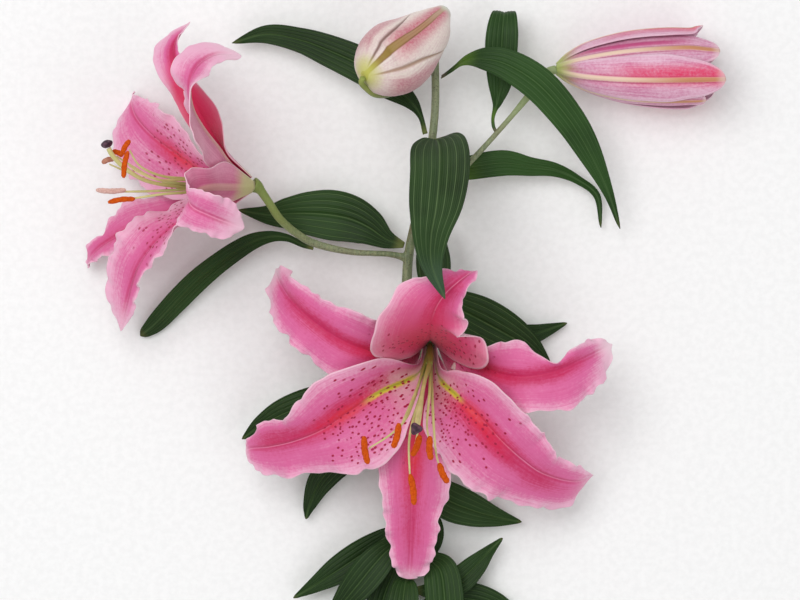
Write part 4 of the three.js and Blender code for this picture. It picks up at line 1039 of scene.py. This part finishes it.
sepal_coat, petal_coat = bud_petal_skin("bud_sepal_skin", -2.0), bud_petal_skin("bud_petal_skin", 0)
upper_coat = bud_petal_skin("bud_upper_sepal_skin", 3.5)
start_x, (full_x, full_radius) = RIGHT_BUD_ROUND[0][0], RIGHT_BUD_ROUND[-1]
for name, reach, from_turn, to_turn, spread, proud, half_turn in RIGHT_BUD_TEPALS:
    rows = []
    parting = [((full_x + reach) / 2, (full_radius + spread) / 2), (reach, spread)]
    for k, (x, radius) in enumerate(RIGHT_BUD_ROUND + parting):
        turn = math.radians(from_turn + (to_turn - from_turn) * (x - start_x) / (reach - start_x))
        out = radius + proud * min(1, k / 2)
        half = out * math.sin(math.radians(half_turn)) * RIGHT_BUD_TAPER.get(k, 1)
        rows.append([x, BUD_AXIS_Y + out * math.sin(turn), BUD_AXIS_Z + out * math.cos(turn), half])
    rows[-1][3] = RIGHT_BUD_TIP
    middle_turn = math.radians((from_turn + to_turn) / 2)
    coat = petal_coat if proud < 0 else upper_coat if "upper" in name else sepal_coat
    blade(name, rows, [petal_coat, coat], "bud", node="right_bud", columns=44, steps=90,
          thickness=RIGHT_BUD_THICKNESS, thin_edge=0.6, cup=RIGHT_BUD_CUP, relief=bud_rib,
          across=np.array([0, -math.cos(middle_turn), math.sin(middle_turn)]),
          narrower=lambda s, v: rounded_tip(v))

# Floor, light and camera: a plain white sheet of paper, a broad soft light from above and the
# viewer's eye straight over the flower.
FLOOR_SIZE = 6.0
SKY_STRENGTH = 0.5
SOFTBOXES = (("overhead_softbox", (-0.5, 0.6, 1.7), 17.0, 1.2),      # name, place, watts and side
             ("fill_softbox", (0.9, -0.8, 1.5), 6.0, 1.4))
LENS, SENSOR = 200.0, 36.0


def floor_skin():
    skin = Skin("white_paper", Specular_IOR_Level=0.1)
    grain = skin.noise(300.0, 2.0)
    skin.blend(grain.rise(0.3, 0.7), paint(247, 247, 247), paint(252, 252, 252))
    return skin.finish(0.9 + grain * 0.05)


bm = bmesh.new()
bmesh.ops.create_grid(bm, x_segments=2, y_segments=2, size=FLOOR_SIZE / 2)
floor_mesh = bpy.data.meshes.new("floor")
bm.to_mesh(floor_mesh)
bm.free()
floor = bpy.data.objects.new("floor", floor_mesh)
bpy.context.collection.objects.link(floor)
floor_mesh.materials.append(floor_skin())

world = bpy.data.worlds.new("studio")
world.use_nodes = True
world.node_tree.nodes["Background"].inputs["Color"].default_value = (1.0, 1.0, 1.0, 1.0)
world.node_tree.nodes["Background"].inputs["Strength"].default_value = SKY_STRENGTH
bpy.context.scene.world = world
bpy.context.scene.view_settings.view_transform = "Standard"
for lamp_name, lamp_place, lamp_power, lamp_size in SOFTBOXES:
    lamp = bpy.data.lights.new(lamp_name, "AREA")
    lamp.energy, lamp.size = lamp_power, lamp_size
    holder = bpy.data.objects.new(lamp_name, lamp)
    holder.location = lamp_place
    holder.rotation_mode = "QUATERNION"
    holder.rotation_quaternion = (-holder.location).to_track_quat("-Z", "Y")
    bpy.context.collection.objects.link(holder)

eye = bpy.data.cameras.new("eye")
eye.lens, eye.sensor_width = LENS, SENSOR
camera = bpy.data.objects.new("eye", eye)
camera.location = (-MIDDLE[0] * MM, -MIDDLE[1] * MM, EYE_HEIGHT * MM)
bpy.context.collection.objects.link(camera)
bpy.context.scene.camera = camera
